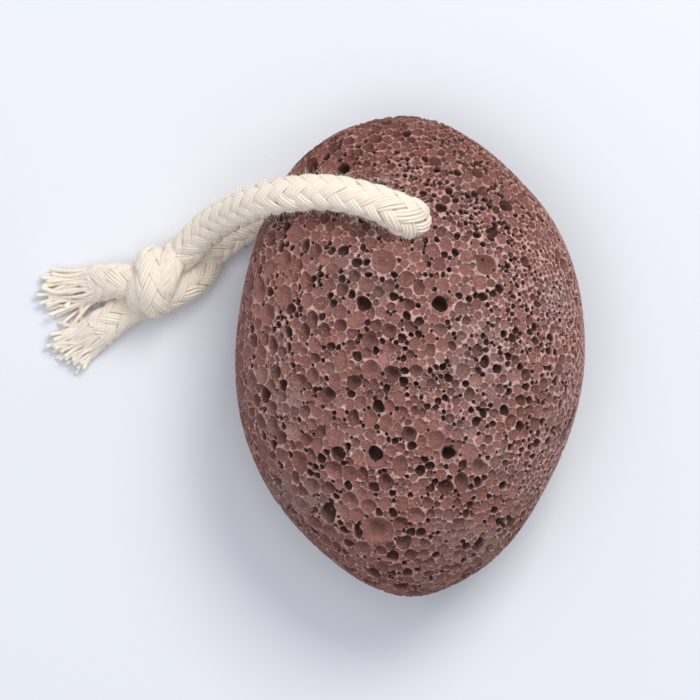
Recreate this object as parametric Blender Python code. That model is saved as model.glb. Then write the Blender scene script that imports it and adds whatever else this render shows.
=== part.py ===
"""Foot pumice stone with a cotton rope looped through its drilled hole and knotted beside it.

Metres, +Z up. The stone lies on its back with its length along Y, its drilled end towards +Y and
its rubbing face up. The floor is at z = 0. The rope leaves the hole on both faces, both legs run
to the left past the stone's edge, and one knot on the floor ties them, with two frayed tails.
"""

import math
import random

import bmesh
import bpy
import numpy as np
from mathutils import Matrix, Vector

MM = 0.001

# Stone: a pointed oval seen from above, with a rounded section all along.
HALF_LENGTH = 50.05 * MM
HALF_WIDTH = 36.3 * MM
WIDEST_AT = 1.9 * MM
EDGE_HEIGHT = 21.8 * MM
FRONT_RISE = 21.5 * MM
BACK_DROP = 23.0 * MM
FRONT_PEAK_AT = -5.0 * MM
BACK_PEAK_AT = -3.0 * MM
OUTLINE_POWERS = ((2.0, 0.53), (2.0, 0.60))
FRONT_POWERS = ((2.0, 0.60), (2.4, 0.60))
BACK_POWERS = ((1.5, 0.85), (2.2, 0.70))
SECTION_POWER = 2.3
STATIONS = 34
SECTION_POINTS = 40
# The middle of the outline leans a little to one side and the other: (y, x) in millimetres.
MIDDLE_LINE = (
    (-60.0, 0.0),
    (-50.0, 0.1),
    (-42.0, 0.4),
    (-28.0, -0.6),
    (0.0, -0.2),
    (20.0, 0.1),
    (30.0, -0.6),
    (38.0, -1.9),
    (46.0, -2.3),
    (50.0, -1.3),
    (60.0, 0.0),
)

# Rope: braided cotton cord.
ROPE_RADIUS = 3.6 * MM
ROPE_GAP = 0.35 * MM
FACE_GAP = 0.3 * MM
ROPE_STEP = 2.6 * MM
ROPE_ROUNDING = 4
HOLE_RADIUS = 4.0 * MM
HOLE_X = 0.3 * MM
HOLE_Y = 28.0 * MM
SOCKET_LENGTH = 12.0 * MM
# Middle line of the rope from knot to knot, in millimetres: front leg, hole, back leg.
ROPE_ROUTE = (
    (-48.6, 20.2, 9.6),
    (-46.6, 22.2, 11.2),
    (-43.4, 25.6, 14.4),
    (-39.4, 28.6, 19.4),
    (-35.0, 30.6, 25.4),
    (-30.0, 32.0, 31.2),
    (-24.0, 32.9, 35.8),
    (-16.0, 32.8, 39.0),
    (-8.0, 31.0, 41.0),
    (-3.0, 29.3, 40.9),
    (-0.2, 28.2, 38.0),
    (0.3, 28.0, 33.0),
    (0.3, 28.0, 23.0),
    (0.3, 28.0, 15.0),
    (-0.4, 28.0, 10.0),
    (-3.4, 28.0, 6.0),
    (-8.0, 28.0, 4.1),
    (-16.0, 27.9, 3.9),
    (-26.0, 26.8, 3.9),
    (-35.0, 24.0, 4.0),
    (-41.5, 20.6, 4.4),
    (-45.2, 18.6, 4.9),
)

# Knot, in millimetres: centre and half sizes of the body and of the loop end beside it, and the
# band that wraps them.
KNOT_BODY = ((-52.0, 16.2, 7.5), (7.4, 7.4, 7.2))
KNOT_LOBE = ((-46.2, 14.1, 6.6), (6.2, 4.3, 4.3))
KNOT_BAND_CENTRE = (-54.0, 16.0, 7.75)
KNOT_BAND_TILT = 8.0
KNOT_BAND_RADIUS = 4.6 * MM
KNOT_BAND_HALF = 2.9 * MM

# Tails in millimetres: x, y, height of the middle, half width, half height at stations from the
# knot to the frayed tips.
TAIL_POINTS = 14
UPPER_TAIL = (
    (-58.0, 15.8, 8.0, 3.3, 3.3),
    (-61.0, 15.6, 6.6, 3.5, 3.4),
    (-65.0, 15.0, 4.2, 3.5, 3.2),
    (-69.0, 14.2, 2.9, 4.2, 2.6),
    (-73.0, 13.4, 2.3, 4.9, 2.0),
    (-76.6, 13.0, 1.7, 4.3, 1.4),
)
LOWER_TAIL = (
    (-56.6, 10.6, 3.6, 3.2, 3.2),
    (-59.4, 8.4, 3.6, 3.3, 3.3),
    (-62.6, 5.8, 3.4, 3.4, 3.1),
    (-66.2, 3.2, 2.8, 4.2, 2.5),
    (-69.6, 0.8, 2.2, 4.8, 1.9),
    (-72.4, -1.4, 1.7, 4.2, 1.4),
)

# Gas bubbles opened by the rubbing face: right of and above the middle of the stone, half widths
# across and along, all in fifths of a millimetre, then the depth in millimetres.
GRID = 0.205 * MM
FRONT_PITS = (
    (29, 53, 13, 13, 1.2),
    (29, 53, 8, 9, 3.4),
    (-47, 53, 8, 8, 3.0),
    (38, -97, 10, 10, 1.6),
    (38, -97, 7, 7, 3.2),
    (-35, -101, 12, 12, 1.3),
    (-36, -97, 8, 8, 3.2),
    (-33, -175, 17, 17, 1.5),
    (-18, -201, 7, 7, 2.8),
    (25, -200, 5, 5, 2.4),
    (-3, -218, 6, 6, 2.2),
    (0, -176, 5, 6, 1.8),
    (10, -176, 5, 6, 1.8),
    (-73, -97, 8, 8, 2.6),
    (-90, -102, 5, 6, 2.2),
    (-63, -129, 5, 5, 2.2),
    (-53, -176, 5, 9, 2.4),
    (-25, -125, 8, 9, 1.8),
    (-48, -117, 6, 8, 1.5),
    (-11, -109, 8, 12, 1.2),
    (-61, -117, 9, 9, 1.2),
    (-61, -143, 9, 9, 1.2),
    (-42, -149, 8, 8, 1.2),
    (5, -158, 9, 9, 1.2),
    (-99, -129, 9, 9, 1.2),
    (75, 92, 11, 11, 1.2),
    (-5, 77, 9, 9, 1.2),
    (-27, 95, 13, 13, 1.2),
    (8, 69, 6, 9, 1.3),
    (-22, 26, 8, 8, 1.6),
    (-40, -13, 10, 10, 1.3),
    (8, 35, 5, 5, 1.3),
    (50, 48, 7, 7, 1.2),
    (29, 27, 7, 7, 1.2),
    (-17, 60, 5, 5, 1.6),
    (74, -5, 5, 7, 2.0),
    (52, -14, 8, 8, 1.2),
    (114, 159, 9, 7, 0.9),
    (82, 125, 8, 5, 1.6),
    (-131, 111, 5, 7, 2.4),
    (-98, 37, 6, 10, 1.6),
    (-106, 24, 6, 10, 1.6),
    (-120, 48, 6, 6, 1.5),
    (-68, 67, 7, 7, 1.4),
    (-67, 106, 6, 6, 1.6),
    (-105, 111, 5, 8, 1.6),
    (-70, 31, 7, 7, 1.4),
    (-138, 11, 6, 10, 1.6),
)
# Bubbles all round the rest of the stone.
SCATTER_SEED = 5
SCATTER_COUNT = 58
SCATTER_TRIES = 4000
SCATTER_HALF = (0.9 * MM, 1.7 * MM)
SCATTER_DEPTH = (0.8, 1.4)
SCATTER_SPACE = 0.7 * MM
HOLE_MARGIN = 7.5 * MM
REST_MARGIN = 4.0 * MM
TIP_MARGIN = 4.0 * MM


def clear_scene() -> None:
    """Remove every object of the scene."""
    for obj in list(bpy.data.objects):
        bpy.data.objects.remove(obj, do_unlink=True)


def through(points: list, share: float) -> float:
    """Value at share on a smooth line through (share, value) points."""
    last = len(points) - 2
    place = 1
    while place < last - 1 and share > points[place + 1][0]:
        place += 1
    (s0, v0), (s1, v1), (s2, v2), (s3, v3) = points[place - 1 : place + 3]
    width = s2 - s1
    t = min(max((share - s1) / width, 0.0), 1.0)
    m1 = (v2 - v0) / (s2 - s0) * width
    m2 = (v3 - v1) / (s3 - s1) * width
    rise = (2 * t**3 - 3 * t**2 + 1) * v1 + (t**3 - 2 * t**2 + t) * m1
    return rise + (3 * t**2 - 2 * t**3) * v2 + (t**3 - t**2) * m2


def taper(y: float, peak_at: float, powers: tuple) -> float:
    """Share of the full size left at y, from 1 at peak_at to 0 at each tip."""
    if y > peak_at:
        (along, across), reach = powers[0], HALF_LENGTH - peak_at
    else:
        (along, across), reach = powers[1], HALF_LENGTH + peak_at
    t = min(abs(y - peak_at) / reach, 1.0)
    return (1.0 - t**along) ** across


def swell(y: float, turn: float) -> float:
    """Slow unevenness of the rubbed surface, as a share of its size."""
    wide = math.sin(3 * turn + 90 * y + 1.0) + 0.8 * math.sin(2 * turn - 130 * y)
    return 1.0 + 0.006 * wide * math.cos(0.5 * math.pi * y / HALF_LENGTH)


def surface(y: float, turn: float) -> Vector:
    """Point of the stone's outer surface at y, turned from its right edge over its front."""
    half = HALF_WIDTH * taper(y, WIDEST_AT, OUTLINE_POWERS)
    if math.sin(turn) >= 0:
        rise = FRONT_RISE * taper(y, FRONT_PEAK_AT, FRONT_POWERS)
    else:
        rise = BACK_DROP * taper(y, BACK_PEAK_AT, BACK_POWERS)
    across = math.copysign(abs(math.cos(turn)) ** (2 / SECTION_POWER), math.cos(turn))
    up = math.copysign(abs(math.sin(turn)) ** (2 / SECTION_POWER), math.sin(turn))
    size = swell(y, turn)
    middle = through(MIDDLE_LINE, y / MM) * MM
    return Vector((middle + half * across * size, y, EDGE_HEIGHT + rise * up * size))


def outward(y: float, turn: float) -> Vector:
    """Direction square to the stone's surface, pointing out."""
    step_y, step_turn = 0.2 * MM, 0.01
    along = surface(y + step_y, turn) - surface(y - step_y, turn)
    around = surface(y, turn + step_turn) - surface(y, turn - step_turn)
    return around.cross(along).normalized() * -1.0


def front_turn(x: float, y: float) -> float:
    """Turn at which the front surface lies over x, y."""
    half = HALF_WIDTH * taper(y, WIDEST_AT, OUTLINE_POWERS)
    share = (x - through(MIDDLE_LINE, y / MM) * MM) / half
    return math.acos(math.copysign(min(abs(share), 1.0) ** (SECTION_POWER / 2), share))


def mesh_object(name: str, mesh_bm: bmesh.types.BMesh, material, smooth: bool = True):
    """Object made from a finished bmesh."""
    bmesh.ops.recalc_face_normals(mesh_bm, faces=mesh_bm.faces)
    mesh = bpy.data.meshes.new(name)
    mesh_bm.to_mesh(mesh)
    mesh_bm.free()
    for face in mesh.polygons:
        face.use_smooth = smooth
    obj = bpy.data.objects.new(name, mesh)
    bpy.context.collection.objects.link(obj)
    if material is not None:
        mesh.materials.append(material)
    return obj


def loft(rings: list) -> bmesh.types.BMesh:
    """Closed skin over rings of points, each closed by its middle at the two ends."""
    bm = bmesh.new()
    rows = [[bm.verts.new(point) for point in ring] for ring in rings]
    count = len(rows[0])
    for first, second in zip(rows, rows[1:]):
        for i in range(count):
            j = (i + 1) % count
            bm.faces.new((first[i], first[j], second[j], second[i]))
    for row in (rows[0], rows[-1]):
        middle = bm.verts.new(sum((v.co for v in row), Vector()) / count)
        for i in range(count):
            bm.faces.new((row[i], row[(i + 1) % count], middle))
    return bm


def cut(obj, cutter, own: bool = False) -> None:
    """Subtract a hidden cutter from an object."""
    cutter.hide_render = True
    cutter.display_type = "WIRE"
    change = obj.modifiers.new("cut_" + cutter.name, "BOOLEAN")
    change.operation = "DIFFERENCE"
    change.solver = "EXACT"
    change.use_self = own
    change.object = cutter


def join(obj, other) -> None:
    """Fuse a hidden helper with an object."""
    other.hide_render = True
    other.display_type = "WIRE"
    change = obj.modifiers.new("join_" + other.name, "BOOLEAN")
    change.operation = "UNION"
    change.solver = "EXACT"
    change.object = other


def smooth_route(points: tuple, gap: float) -> list:
    """Evenly spaced points, about gap apart, on a smooth curve through the route's own points."""
    knots = [Vector(point) * MM for point in points]
    knots = [knots[0] * 2 - knots[1]] + knots + [knots[-1] * 2 - knots[-2]]
    dense = []
    for p0, p1, p2, p3 in zip(knots, knots[1:], knots[2:], knots[3:]):
        for t in np.linspace(0.0, 1.0, 24, endpoint=False):
            dense.append(
                0.5
                * (
                    2 * p1
                    + (p2 - p0) * t
                    + (2 * p0 - 5 * p1 + 4 * p2 - p3) * t**2
                    + (3 * p1 - p0 - 3 * p2 + p3) * t**3
                )
            )
    dense.append(knots[-2])
    steps = [(b - a).length for a, b in zip(dense, dense[1:])]
    along = np.concatenate([[0.0], np.cumsum(steps)])
    wanted = np.linspace(0.0, along[-1], round(along[-1] / gap) + 1)
    lines = [np.interp(wanted, along, [p[axis] for p in dense]) for axis in range(3)]
    return [Vector(point) for point in zip(*lines)]


def tube(name: str, points: list, radius: float, material):
    """Round tube with closed ends along the points."""
    curve = bpy.data.curves.new(name, "CURVE")
    curve.dimensions = "3D"
    curve.bevel_depth = radius
    curve.bevel_resolution = ROPE_ROUNDING
    curve.use_fill_caps = True
    line = curve.splines.new("POLY")
    line.points.add(len(points) - 1)
    for place, point in zip(line.points, points):
        place.co = (*point, 1.0)
    line.use_smooth = True
    if material is not None:
        curve.materials.append(material)
    obj = bpy.data.objects.new(name, curve)
    bpy.context.collection.objects.link(obj)
    return obj


def tube_mesh(name: str, points: list, radius: float, sides: int):
    """Round tube as a plain mesh, for a cutter."""
    rings = []
    side = Vector((0.0, 1.0, 0.0))
    for i, point in enumerate(points):
        ahead = (points[min(i + 1, len(points) - 1)] - points[max(i - 1, 0)]).normalized()
        side = (side - ahead * side.dot(ahead)).normalized()
        other = ahead.cross(side)
        turns = [2 * math.pi * k / sides for k in range(sides)]
        rings.append([point + (side * math.cos(a) + other * math.sin(a)) * radius for a in turns])
    return mesh_object(name, loft(rings), None, smooth=False)


def ball(name: str, centre: Vector, halves: tuple, material=None, rings: int = 12):
    """Ellipsoid from its centre and half sizes, both in millimetres."""
    bm = bmesh.new()
    bmesh.ops.create_uvsphere(bm, u_segments=2 * rings, v_segments=rings, radius=1.0)
    bmesh.ops.scale(bm, vec=Vector(halves) * MM, verts=bm.verts)
    bmesh.ops.translate(bm, vec=Vector(centre) * MM, verts=bm.verts)
    return mesh_object(name, bm, material)


def pit_into(bm: bmesh.types.BMesh, y: float, turn: float, halves: tuple, depth: float) -> None:
    """Add one bubble, centred on the surface, to the cutter that opens the pits."""
    normal = outward(y, turn)
    along = (Vector((0.0, 1.0, 0.0)) - normal * normal.y).normalized()
    across = along.cross(normal)
    frame = Matrix((across, along, normal)).transposed().to_4x4()
    place = Matrix.Translation(surface(y, turn)) @ frame @ Matrix.Diagonal((*halves, depth, 1.0))
    bmesh.ops.create_icosphere(bm, subdivisions=1, radius=1.0, matrix=place)


def scattered_pits() -> list:
    """Places and sizes of the bubbles round the stone: y, turn, half size, depth."""
    chance = random.Random(SCATTER_SEED)
    taken = []
    for across, above, wide, long, _ in FRONT_PITS:
        x, y = across * GRID, above * GRID
        taken.append((surface(y, front_turn(x, y)), max(wide, long) * GRID))
    found = []
    for _ in range(SCATTER_TRIES):
        y = chance.uniform(-HALF_LENGTH + TIP_MARGIN, HALF_LENGTH - TIP_MARGIN)
        turn = chance.uniform(0.0, 2 * math.pi)
        half = chance.uniform(*SCATTER_HALF)
        deep = half * chance.uniform(*SCATTER_DEPTH)
        point = surface(y, turn)
        near_hole = math.hypot(point.x - HOLE_X, point.y - HOLE_Y) < HOLE_MARGIN
        if near_hole or point.z < REST_MARGIN:
            continue
        if any((point - place).length < half + size + SCATTER_SPACE for place, size in taken):
            continue
        taken.append((point, half))
        found.append((y, turn, half, deep))
        if len(found) == SCATTER_COUNT:
            break
    return found


def build_stone(material, rope_points: list):
    """Rubbed pumice body, flat where it rests, with its drilled hole, worn rims and open pits."""
    rings = []
    for i in range(1, STATIONS):
        y = -HALF_LENGTH * math.cos(math.pi * i / STATIONS)
        turns = [2 * math.pi * k / SECTION_POINTS for k in range(SECTION_POINTS)]
        rings.append([surface(y, turn) for turn in turns])
    body = loft(rings)
    # The two closing points go out to the tips, so that the ends are round.
    body.verts.ensure_lookup_table()
    for vert, y in ((body.verts[-2], -HALF_LENGTH), (body.verts[-1], HALF_LENGTH)):
        vert.co = surface(y, 0.0)
    stone = mesh_object("pumice_stone", body, material)

    floor = bmesh.new()
    bmesh.ops.create_cube(floor, size=2 * HALF_LENGTH)
    bmesh.ops.translate(floor, vec=(0.0, 0.0, -HALF_LENGTH), verts=floor.verts)
    cut(stone, mesh_object("rest_cutter", floor, None, smooth=False))

    pits = bmesh.new()
    for across, above, wide, long, depth in FRONT_PITS:
        x, y = across * GRID, above * GRID
        pit_into(pits, y, front_turn(x, y), (wide * GRID, long * GRID), depth * MM)
    for y, turn, half, deep in scattered_pits():
        pit_into(pits, y, turn, (half, half), deep)
    cut(stone, mesh_object("pit_cutter", pits, None, smooth=False), own=True)

    hole = [Vector((HOLE_X, HOLE_Y, z)) for z in (-5.0 * MM, 50.0 * MM)]
    cut(stone, tube_mesh("hole_cutter", hole, HOLE_RADIUS, 24))
    worn = [p for p in rope_points if math.hypot(p.x - HOLE_X, p.y - HOLE_Y) < 14.0 * MM]
    cut(stone, tube_mesh("wear_cutter", worn, ROPE_RADIUS + ROPE_GAP, 20))
    return stone


def build_knot(material, rope_points: list):
    """Outer shape of the knot, with a shallow socket for each rope end that goes into it."""
    knot = ball("rope_knot", *KNOT_BODY, material, rings=11)
    join(knot, ball("knot_lobe", *KNOT_LOBE, rings=8))
    band = bmesh.new()
    rings = []
    for i in range(28):
        turn = 2 * math.pi * i / 28
        middle = Vector((0.0, math.cos(turn), math.sin(turn)))
        rings.append(
            [
                band.verts.new(
                    middle * (KNOT_BAND_RADIUS + KNOT_BAND_HALF * math.cos(a))
                    + Vector((KNOT_BAND_HALF * math.sin(a), 0.0, 0.0))
                )
                for a in [2 * math.pi * k / 12 for k in range(12)]
            ]
        )
    for i, ring in enumerate(rings):
        after = rings[(i + 1) % len(rings)]
        for k in range(12):
            n = (k + 1) % 12
            band.faces.new((ring[k], ring[n], after[n], after[k]))
    spin = Matrix.Rotation(math.radians(KNOT_BAND_TILT), 4, "Z")
    bmesh.ops.transform(
        band, matrix=Matrix.Translation(Vector(KNOT_BAND_CENTRE) * MM) @ spin, verts=band.verts
    )
    join(knot, mesh_object("knot_band", band, None))

    ends = [(rope_points[0], rope_points[1]), (rope_points[-1], rope_points[-2])]
    for name, (end, inner) in zip(("front", "back"), ends):
        out = (inner - end).normalized()
        reach = [end - out * FACE_GAP, end + out * SOCKET_LENGTH]
        cutter = tube_mesh(f"socket_{name}_cutter", reach, ROPE_RADIUS + FACE_GAP, 20)
        cut(knot, cutter)
    for name, stations in (("upper", UPPER_TAIL), ("lower", LOWER_TAIL)):
        cut(knot, build_tail(f"socket_{name}_cutter", stations, None, FACE_GAP))
    return knot


def build_tail(name: str, stations: tuple, material, grow: float = 0.0):
    """Rope end: round by the knot, then flat and wide where its yarns come loose."""
    rings = []
    for i, (x, y, z, half_wide, half_high) in enumerate(stations):
        here = Vector((x, y, z)) * MM
        ahead = Vector(stations[min(i + 1, len(stations) - 1)][:2]).to_3d()
        ahead -= Vector(stations[max(i - 1, 0)][:2]).to_3d()
        ahead.normalize()
        side = Vector((-ahead.y, ahead.x, 0.0))
        wide, high = half_wide * MM + grow, half_high * MM + grow
        if i == 0:
            here -= ahead * grow
        ring = []
        for k in range(TAIL_POINTS):
            turn = 2 * math.pi * k / TAIL_POINTS
            ring.append(here + side * math.cos(turn) * wide + Vector((0, 0, math.sin(turn) * high)))
        rings.append(ring)
    return mesh_object(name, loft(rings), material)


def principled(name: str, colour: tuple, roughness: float):
    """Plain Principled BSDF material of one colour."""
    material = bpy.data.materials.new(name)
    material.use_nodes = True
    shader = material.node_tree.nodes["Principled BSDF"]
    shader.inputs["Base Color"].default_value = (*colour, 1.0)
    shader.inputs["Roughness"].default_value = roughness
    return material


def main() -> None:
    """Build the stone and the rope."""
    clear_scene()
    stone_material = principled("pumice", (0.30, 0.14, 0.12), 0.95)
    rope_material = principled("cotton_rope", (0.83, 0.77, 0.66), 0.9)
    rope_points = smooth_route(ROPE_ROUTE, ROPE_STEP)
    build_stone(stone_material, rope_points)
    tube("rope_loop", rope_points, ROPE_RADIUS, rope_material)
    build_knot(rope_material, rope_points)
    build_tail("rope_tail_upper", UPPER_TAIL, rope_material)
    build_tail("rope_tail_lower", LOWER_TAIL, rope_material)


main()
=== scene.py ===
"""Looks of the foot pumice stone and its cotton rope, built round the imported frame, in metres."""

import logging
import math
import random
from dataclasses import dataclass, field
from enum import Enum
from functools import partial
from typing import Any, Sequence

import bpy
import numpy as np
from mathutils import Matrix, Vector, noise
from mathutils.geometry import delaunay_2d_cdt
from mathutils.kdtree import KDTree


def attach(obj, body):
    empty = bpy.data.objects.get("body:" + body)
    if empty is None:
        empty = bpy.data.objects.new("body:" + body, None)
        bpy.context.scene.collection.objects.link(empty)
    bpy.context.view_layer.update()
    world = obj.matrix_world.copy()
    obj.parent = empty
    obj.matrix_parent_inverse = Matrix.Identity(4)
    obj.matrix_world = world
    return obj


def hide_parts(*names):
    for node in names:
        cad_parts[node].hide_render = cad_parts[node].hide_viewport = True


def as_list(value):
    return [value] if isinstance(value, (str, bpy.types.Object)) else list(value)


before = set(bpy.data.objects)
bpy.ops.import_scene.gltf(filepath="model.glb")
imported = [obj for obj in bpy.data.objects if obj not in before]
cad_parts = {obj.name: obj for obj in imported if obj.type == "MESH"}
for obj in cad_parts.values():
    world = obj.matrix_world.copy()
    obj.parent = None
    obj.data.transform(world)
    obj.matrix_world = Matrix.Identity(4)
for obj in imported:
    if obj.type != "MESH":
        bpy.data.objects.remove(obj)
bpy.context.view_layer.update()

MM = 0.001
BODY = "root"
log = logging.getLogger("pumice")

Array = np.ndarray
CURVE_STEPS = 24  # points between two knots of a smooth curve, before they are spaced evenly


def linear(code: str) -> tuple[float, float, float, float]:
    """Turn an sRGB hex colour into linear RGBA.

    Args:
        code: colour as six hex digits after a hash sign.

    Returns:
        Linear red, green, blue and an alpha of 1.
    """
    shares = [int(code[i : i + 2], 16) / 255 for i in (1, 3, 5)]
    bent = [c / 12.92 if c <= 0.04045 else ((c + 0.055) / 1.055) ** 2.4 for c in shares]
    return (bent[0], bent[1], bent[2], 1.0)


def add_node(
    material: Any,
    kind: str,
    output: str | int,
    inputs: dict[Any, Any],
    **settings: Any,
) -> Any:
    """Add one node to a material or world, with its settings and links.

    Args:
        material: the material or world that owns the node tree.
        kind: the node's type name, without the leading ShaderNode.
        output: name or number of the output wanted.
        inputs: socket name or number to a value, or to the output that feeds it.
        settings: values of the node's own properties.

    Returns:
        That output of the new node.
    """
    tree = material.node_tree
    node = tree.nodes.new("ShaderNode" + kind)
    for name, value in settings.items():
        setattr(node, name, value)
    for name, value in inputs.items():
        if isinstance(value, bpy.types.NodeSocket):
            tree.links.new(value, node.inputs[name])
        else:
            node.inputs[name].default_value = value
    return node.outputs[output]


def finish_material(material: Any, kind: str, surface: Any) -> None:
    """Lead a shader to the output of a material or world."""
    target = material.node_tree.nodes.new("ShaderNode" + kind)
    material.node_tree.links.new(surface, target.inputs["Surface"])


def new_material(name: str) -> Any:
    """Start a node material.

    Args:
        name: its name.

    Returns:
        The material, with no nodes yet.
    """
    material = bpy.data.materials.new(name)
    material.use_nodes = True
    material.node_tree.nodes.clear()
    return material


def mesh_piece(
    name: str,
    points: Array,
    faces: Array,
    material: Any,
    values: dict[str, Array] | None = None,
    sharp_angle: float | None = None,
) -> bpy.types.Object:
    """Make one object from arrays.

    Args:
        name: object name.
        points: vertex positions, one row each.
        faces: corner numbers, one row of three or four each.
        material: its material.
        values: named numbers for each vertex, which materials read.
        sharp_angle: angle in radians past which an edge shows sharp, or None for all smooth.

    Returns:
        The object, linked to the scene.
    """
    mesh = bpy.data.meshes.new(name)
    mesh.vertices.add(len(points))
    mesh.vertices.foreach_set("co", np.ascontiguousarray(points, np.float32).ravel())
    corners = faces.shape[1]
    mesh.loops.add(faces.size)
    mesh.loops.foreach_set("vertex_index", np.ascontiguousarray(faces, np.int32).ravel())
    mesh.polygons.add(len(faces))
    mesh.polygons.foreach_set("loop_start", np.arange(0, faces.size, corners, dtype=np.int32))
    mesh.update(calc_edges=True)
    mesh.validate()
    for key, data in (values or {}).items():
        layer = mesh.attributes.new(key, "FLOAT", "POINT")
        layer.data.foreach_set("value", np.ascontiguousarray(data, np.float32))
    mesh.polygons.foreach_set("use_smooth", np.ones(len(mesh.polygons), bool))
    if sharp_angle is not None:
        mesh.set_sharp_from_angle(angle=sharp_angle)
    mesh.materials.append(material)
    obj = bpy.data.objects.new(name, mesh)
    bpy.context.collection.objects.link(obj)
    return obj


# --- The stone's form ---


@dataclass(frozen=True)
class PebbleForm:
    """Outer form of the rubbed stone: a pointed oval with a rounded section, lying on its back."""

    half_length: float = 50.05 * MM
    half_width: float = 36.3 * MM
    widest_at: float = 1.9 * MM
    edge_height: float = 21.8 * MM
    front_rise: float = 21.5 * MM
    back_drop: float = 23.0 * MM
    front_peak_at: float = -5.0 * MM
    back_peak_at: float = -3.0 * MM
    outline_powers: tuple = ((2.0, 0.53), (2.0, 0.60))
    front_powers: tuple = ((2.0, 0.60), (2.4, 0.60))
    back_powers: tuple = ((1.5, 0.85), (2.2, 0.70))
    section_power: float = 2.3
    # Slow waves that rubbing by hand left, as a share of the section, and their numbers: how many
    # go round, how fast they drift along, in radians a metre, and the second one's strength.
    waviness: float = 0.006
    waves: tuple = ((3, 90), (2, 130))
    second_wave: float = 0.8
    tip_margin: float = 0.25 * MM
    middle_line: tuple = (
        (-60.0, 0.0), (-50.0, 0.1), (-42.0, 0.4), (-28.0, -0.6), (0.0, -0.2), (20.0, 0.1),
        (30.0, -0.6), (38.0, -1.9), (46.0, -2.3), (50.0, -1.3), (60.0, 0.0),
    )

    def taper(self, y: Array, peak_at: float, powers: tuple) -> Array:
        """Work out how much of the full size is left towards the tips.

        Args:
            y: places along the stone.
            peak_at: where the size is full.
            powers: the curve's powers along and across, for the upper and the lower end.

        Returns:
            Share of the full size at each place.
        """
        upper = y > peak_at
        reach = np.where(upper, self.half_length - peak_at, self.half_length + peak_at)
        along = np.where(upper, powers[0][0], powers[1][0])
        across = np.where(upper, powers[0][1], powers[1][1])
        return (1.0 - np.minimum(np.abs(y - peak_at) / reach, 1.0) ** along) ** across

    def middle(self, y: Array) -> Array:
        """Work out how far the outline's middle leans to the right.

        Args:
            y: places along the stone.

        Returns:
            Distance from the straight middle line at each place.
        """
        xs, vs = np.array(self.middle_line).T * MM
        i = np.clip(np.searchsorted(xs, y, "left") - 1, 1, len(xs) - 3)
        width = xs[i + 1] - xs[i]
        t = np.clip((y - xs[i]) / width, 0.0, 1.0)
        m1 = (vs[i + 1] - vs[i - 1]) / (xs[i + 1] - xs[i - 1]) * width
        m2 = (vs[i + 2] - vs[i]) / (xs[i + 2] - xs[i]) * width
        start = (2 * t**3 - 3 * t**2 + 1) * vs[i] + (t**3 - 2 * t**2 + t) * m1
        return start + (3 * t**2 - 2 * t**3) * vs[i + 1] + (t**3 - t**2) * m2

    def rise(self, y: Array, turn: Array) -> Array:
        """Work out the section's half height.

        Args:
            y: places along the stone.
            turn: turns, which say front or back.

        Returns:
            Half height at each pair.
        """
        front = self.front_rise * self.taper(y, self.front_peak_at, self.front_powers)
        back = self.back_drop * self.taper(y, self.back_peak_at, self.back_powers)
        return np.where(np.sin(turn) >= 0, front, back)

    def outline(self, y: Array) -> Array:
        """Return the outline's half width at y."""
        return self.half_width * self.taper(y, self.widest_at, self.outline_powers)

    def surface(self, y: Array, turn: Array) -> Array:
        """Return points of the outer surface.

        Args:
            y: places along the stone.
            turn: turns from the right edge over the front, in radians.

        Returns:
            One row of x, y, z for each pair.
        """
        y, turn = np.broadcast_arrays(np.asarray(y, float), np.asarray(turn, float))
        power = 2 / self.section_power
        across = np.copysign(np.abs(np.cos(turn)) ** power, np.cos(turn))
        up = np.copysign(np.abs(np.sin(turn)) ** power, np.sin(turn))
        (round_one, along_one), (round_two, along_two) = self.waves
        wide = np.sin(round_one * turn + along_one * y + 1.0) + self.second_wave * np.sin(
            round_two * turn - along_two * y
        )
        size = 1.0 + self.waviness * wide * np.cos(0.5 * math.pi * y / self.half_length)
        x = self.middle(y) + self.outline(y) * across * size
        return np.stack([x, y, self.edge_height + self.rise(y, turn) * up * size], axis=-1)

    def outward(self, y: Array, turn: Array) -> Array:
        """Work out the ways square to the surface.

        Args:
            y: places along the stone.
            turn: their turns.

        Returns:
            One unit row that points out for each pair.
        """
        end = self.half_length - self.tip_margin
        y = np.clip(np.asarray(y, float), -end, end)
        step_y, step_turn = 0.2 * MM, 0.01
        along = self.surface(y + step_y, turn) - self.surface(y - step_y, turn)
        around = self.surface(y, turn + step_turn) - self.surface(y, turn - step_turn)
        normal = np.cross(along, around)
        return normal / np.linalg.norm(normal, axis=-1, keepdims=True)

    def turn_of(self, points: Array) -> Array:
        """Find the turn at which the surface passes nearest each point's x and z.

        Args:
            points: places near the surface.

        Returns:
            Turn of each, from 0 to a full turn.
        """
        y = np.clip(points[:, 1], -self.half_length + 1e-6, self.half_length - 1e-6)
        x = (points[:, 0] - self.middle(y)) / self.outline(y)
        side = np.where(points[:, 2] >= self.edge_height, 1.0, -1.0)
        z = (points[:, 2] - self.edge_height) / self.rise(y, side)
        bent = self.section_power / 2
        turn = np.arctan2(np.copysign(np.abs(z) ** bent, z), np.copysign(np.abs(x) ** bent, x))
        return np.mod(turn, 2 * math.pi)

    def front_turn(self, x: float, y: float) -> float:
        """Find the turn at which the front lies over a spot.

        Args:
            x: its place across the stone.
            y: its place along the stone.

        Returns:
            The turn.
        """
        here = np.array(y)
        half = self.half_width * float(self.taper(here, self.widest_at, self.outline_powers))
        share = (x - float(self.middle(here))) / half
        bent = math.copysign(min(abs(share), 1.0) ** (self.section_power / 2), share)
        return math.acos(bent)


# --- Rope route, hole and camera ---


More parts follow.
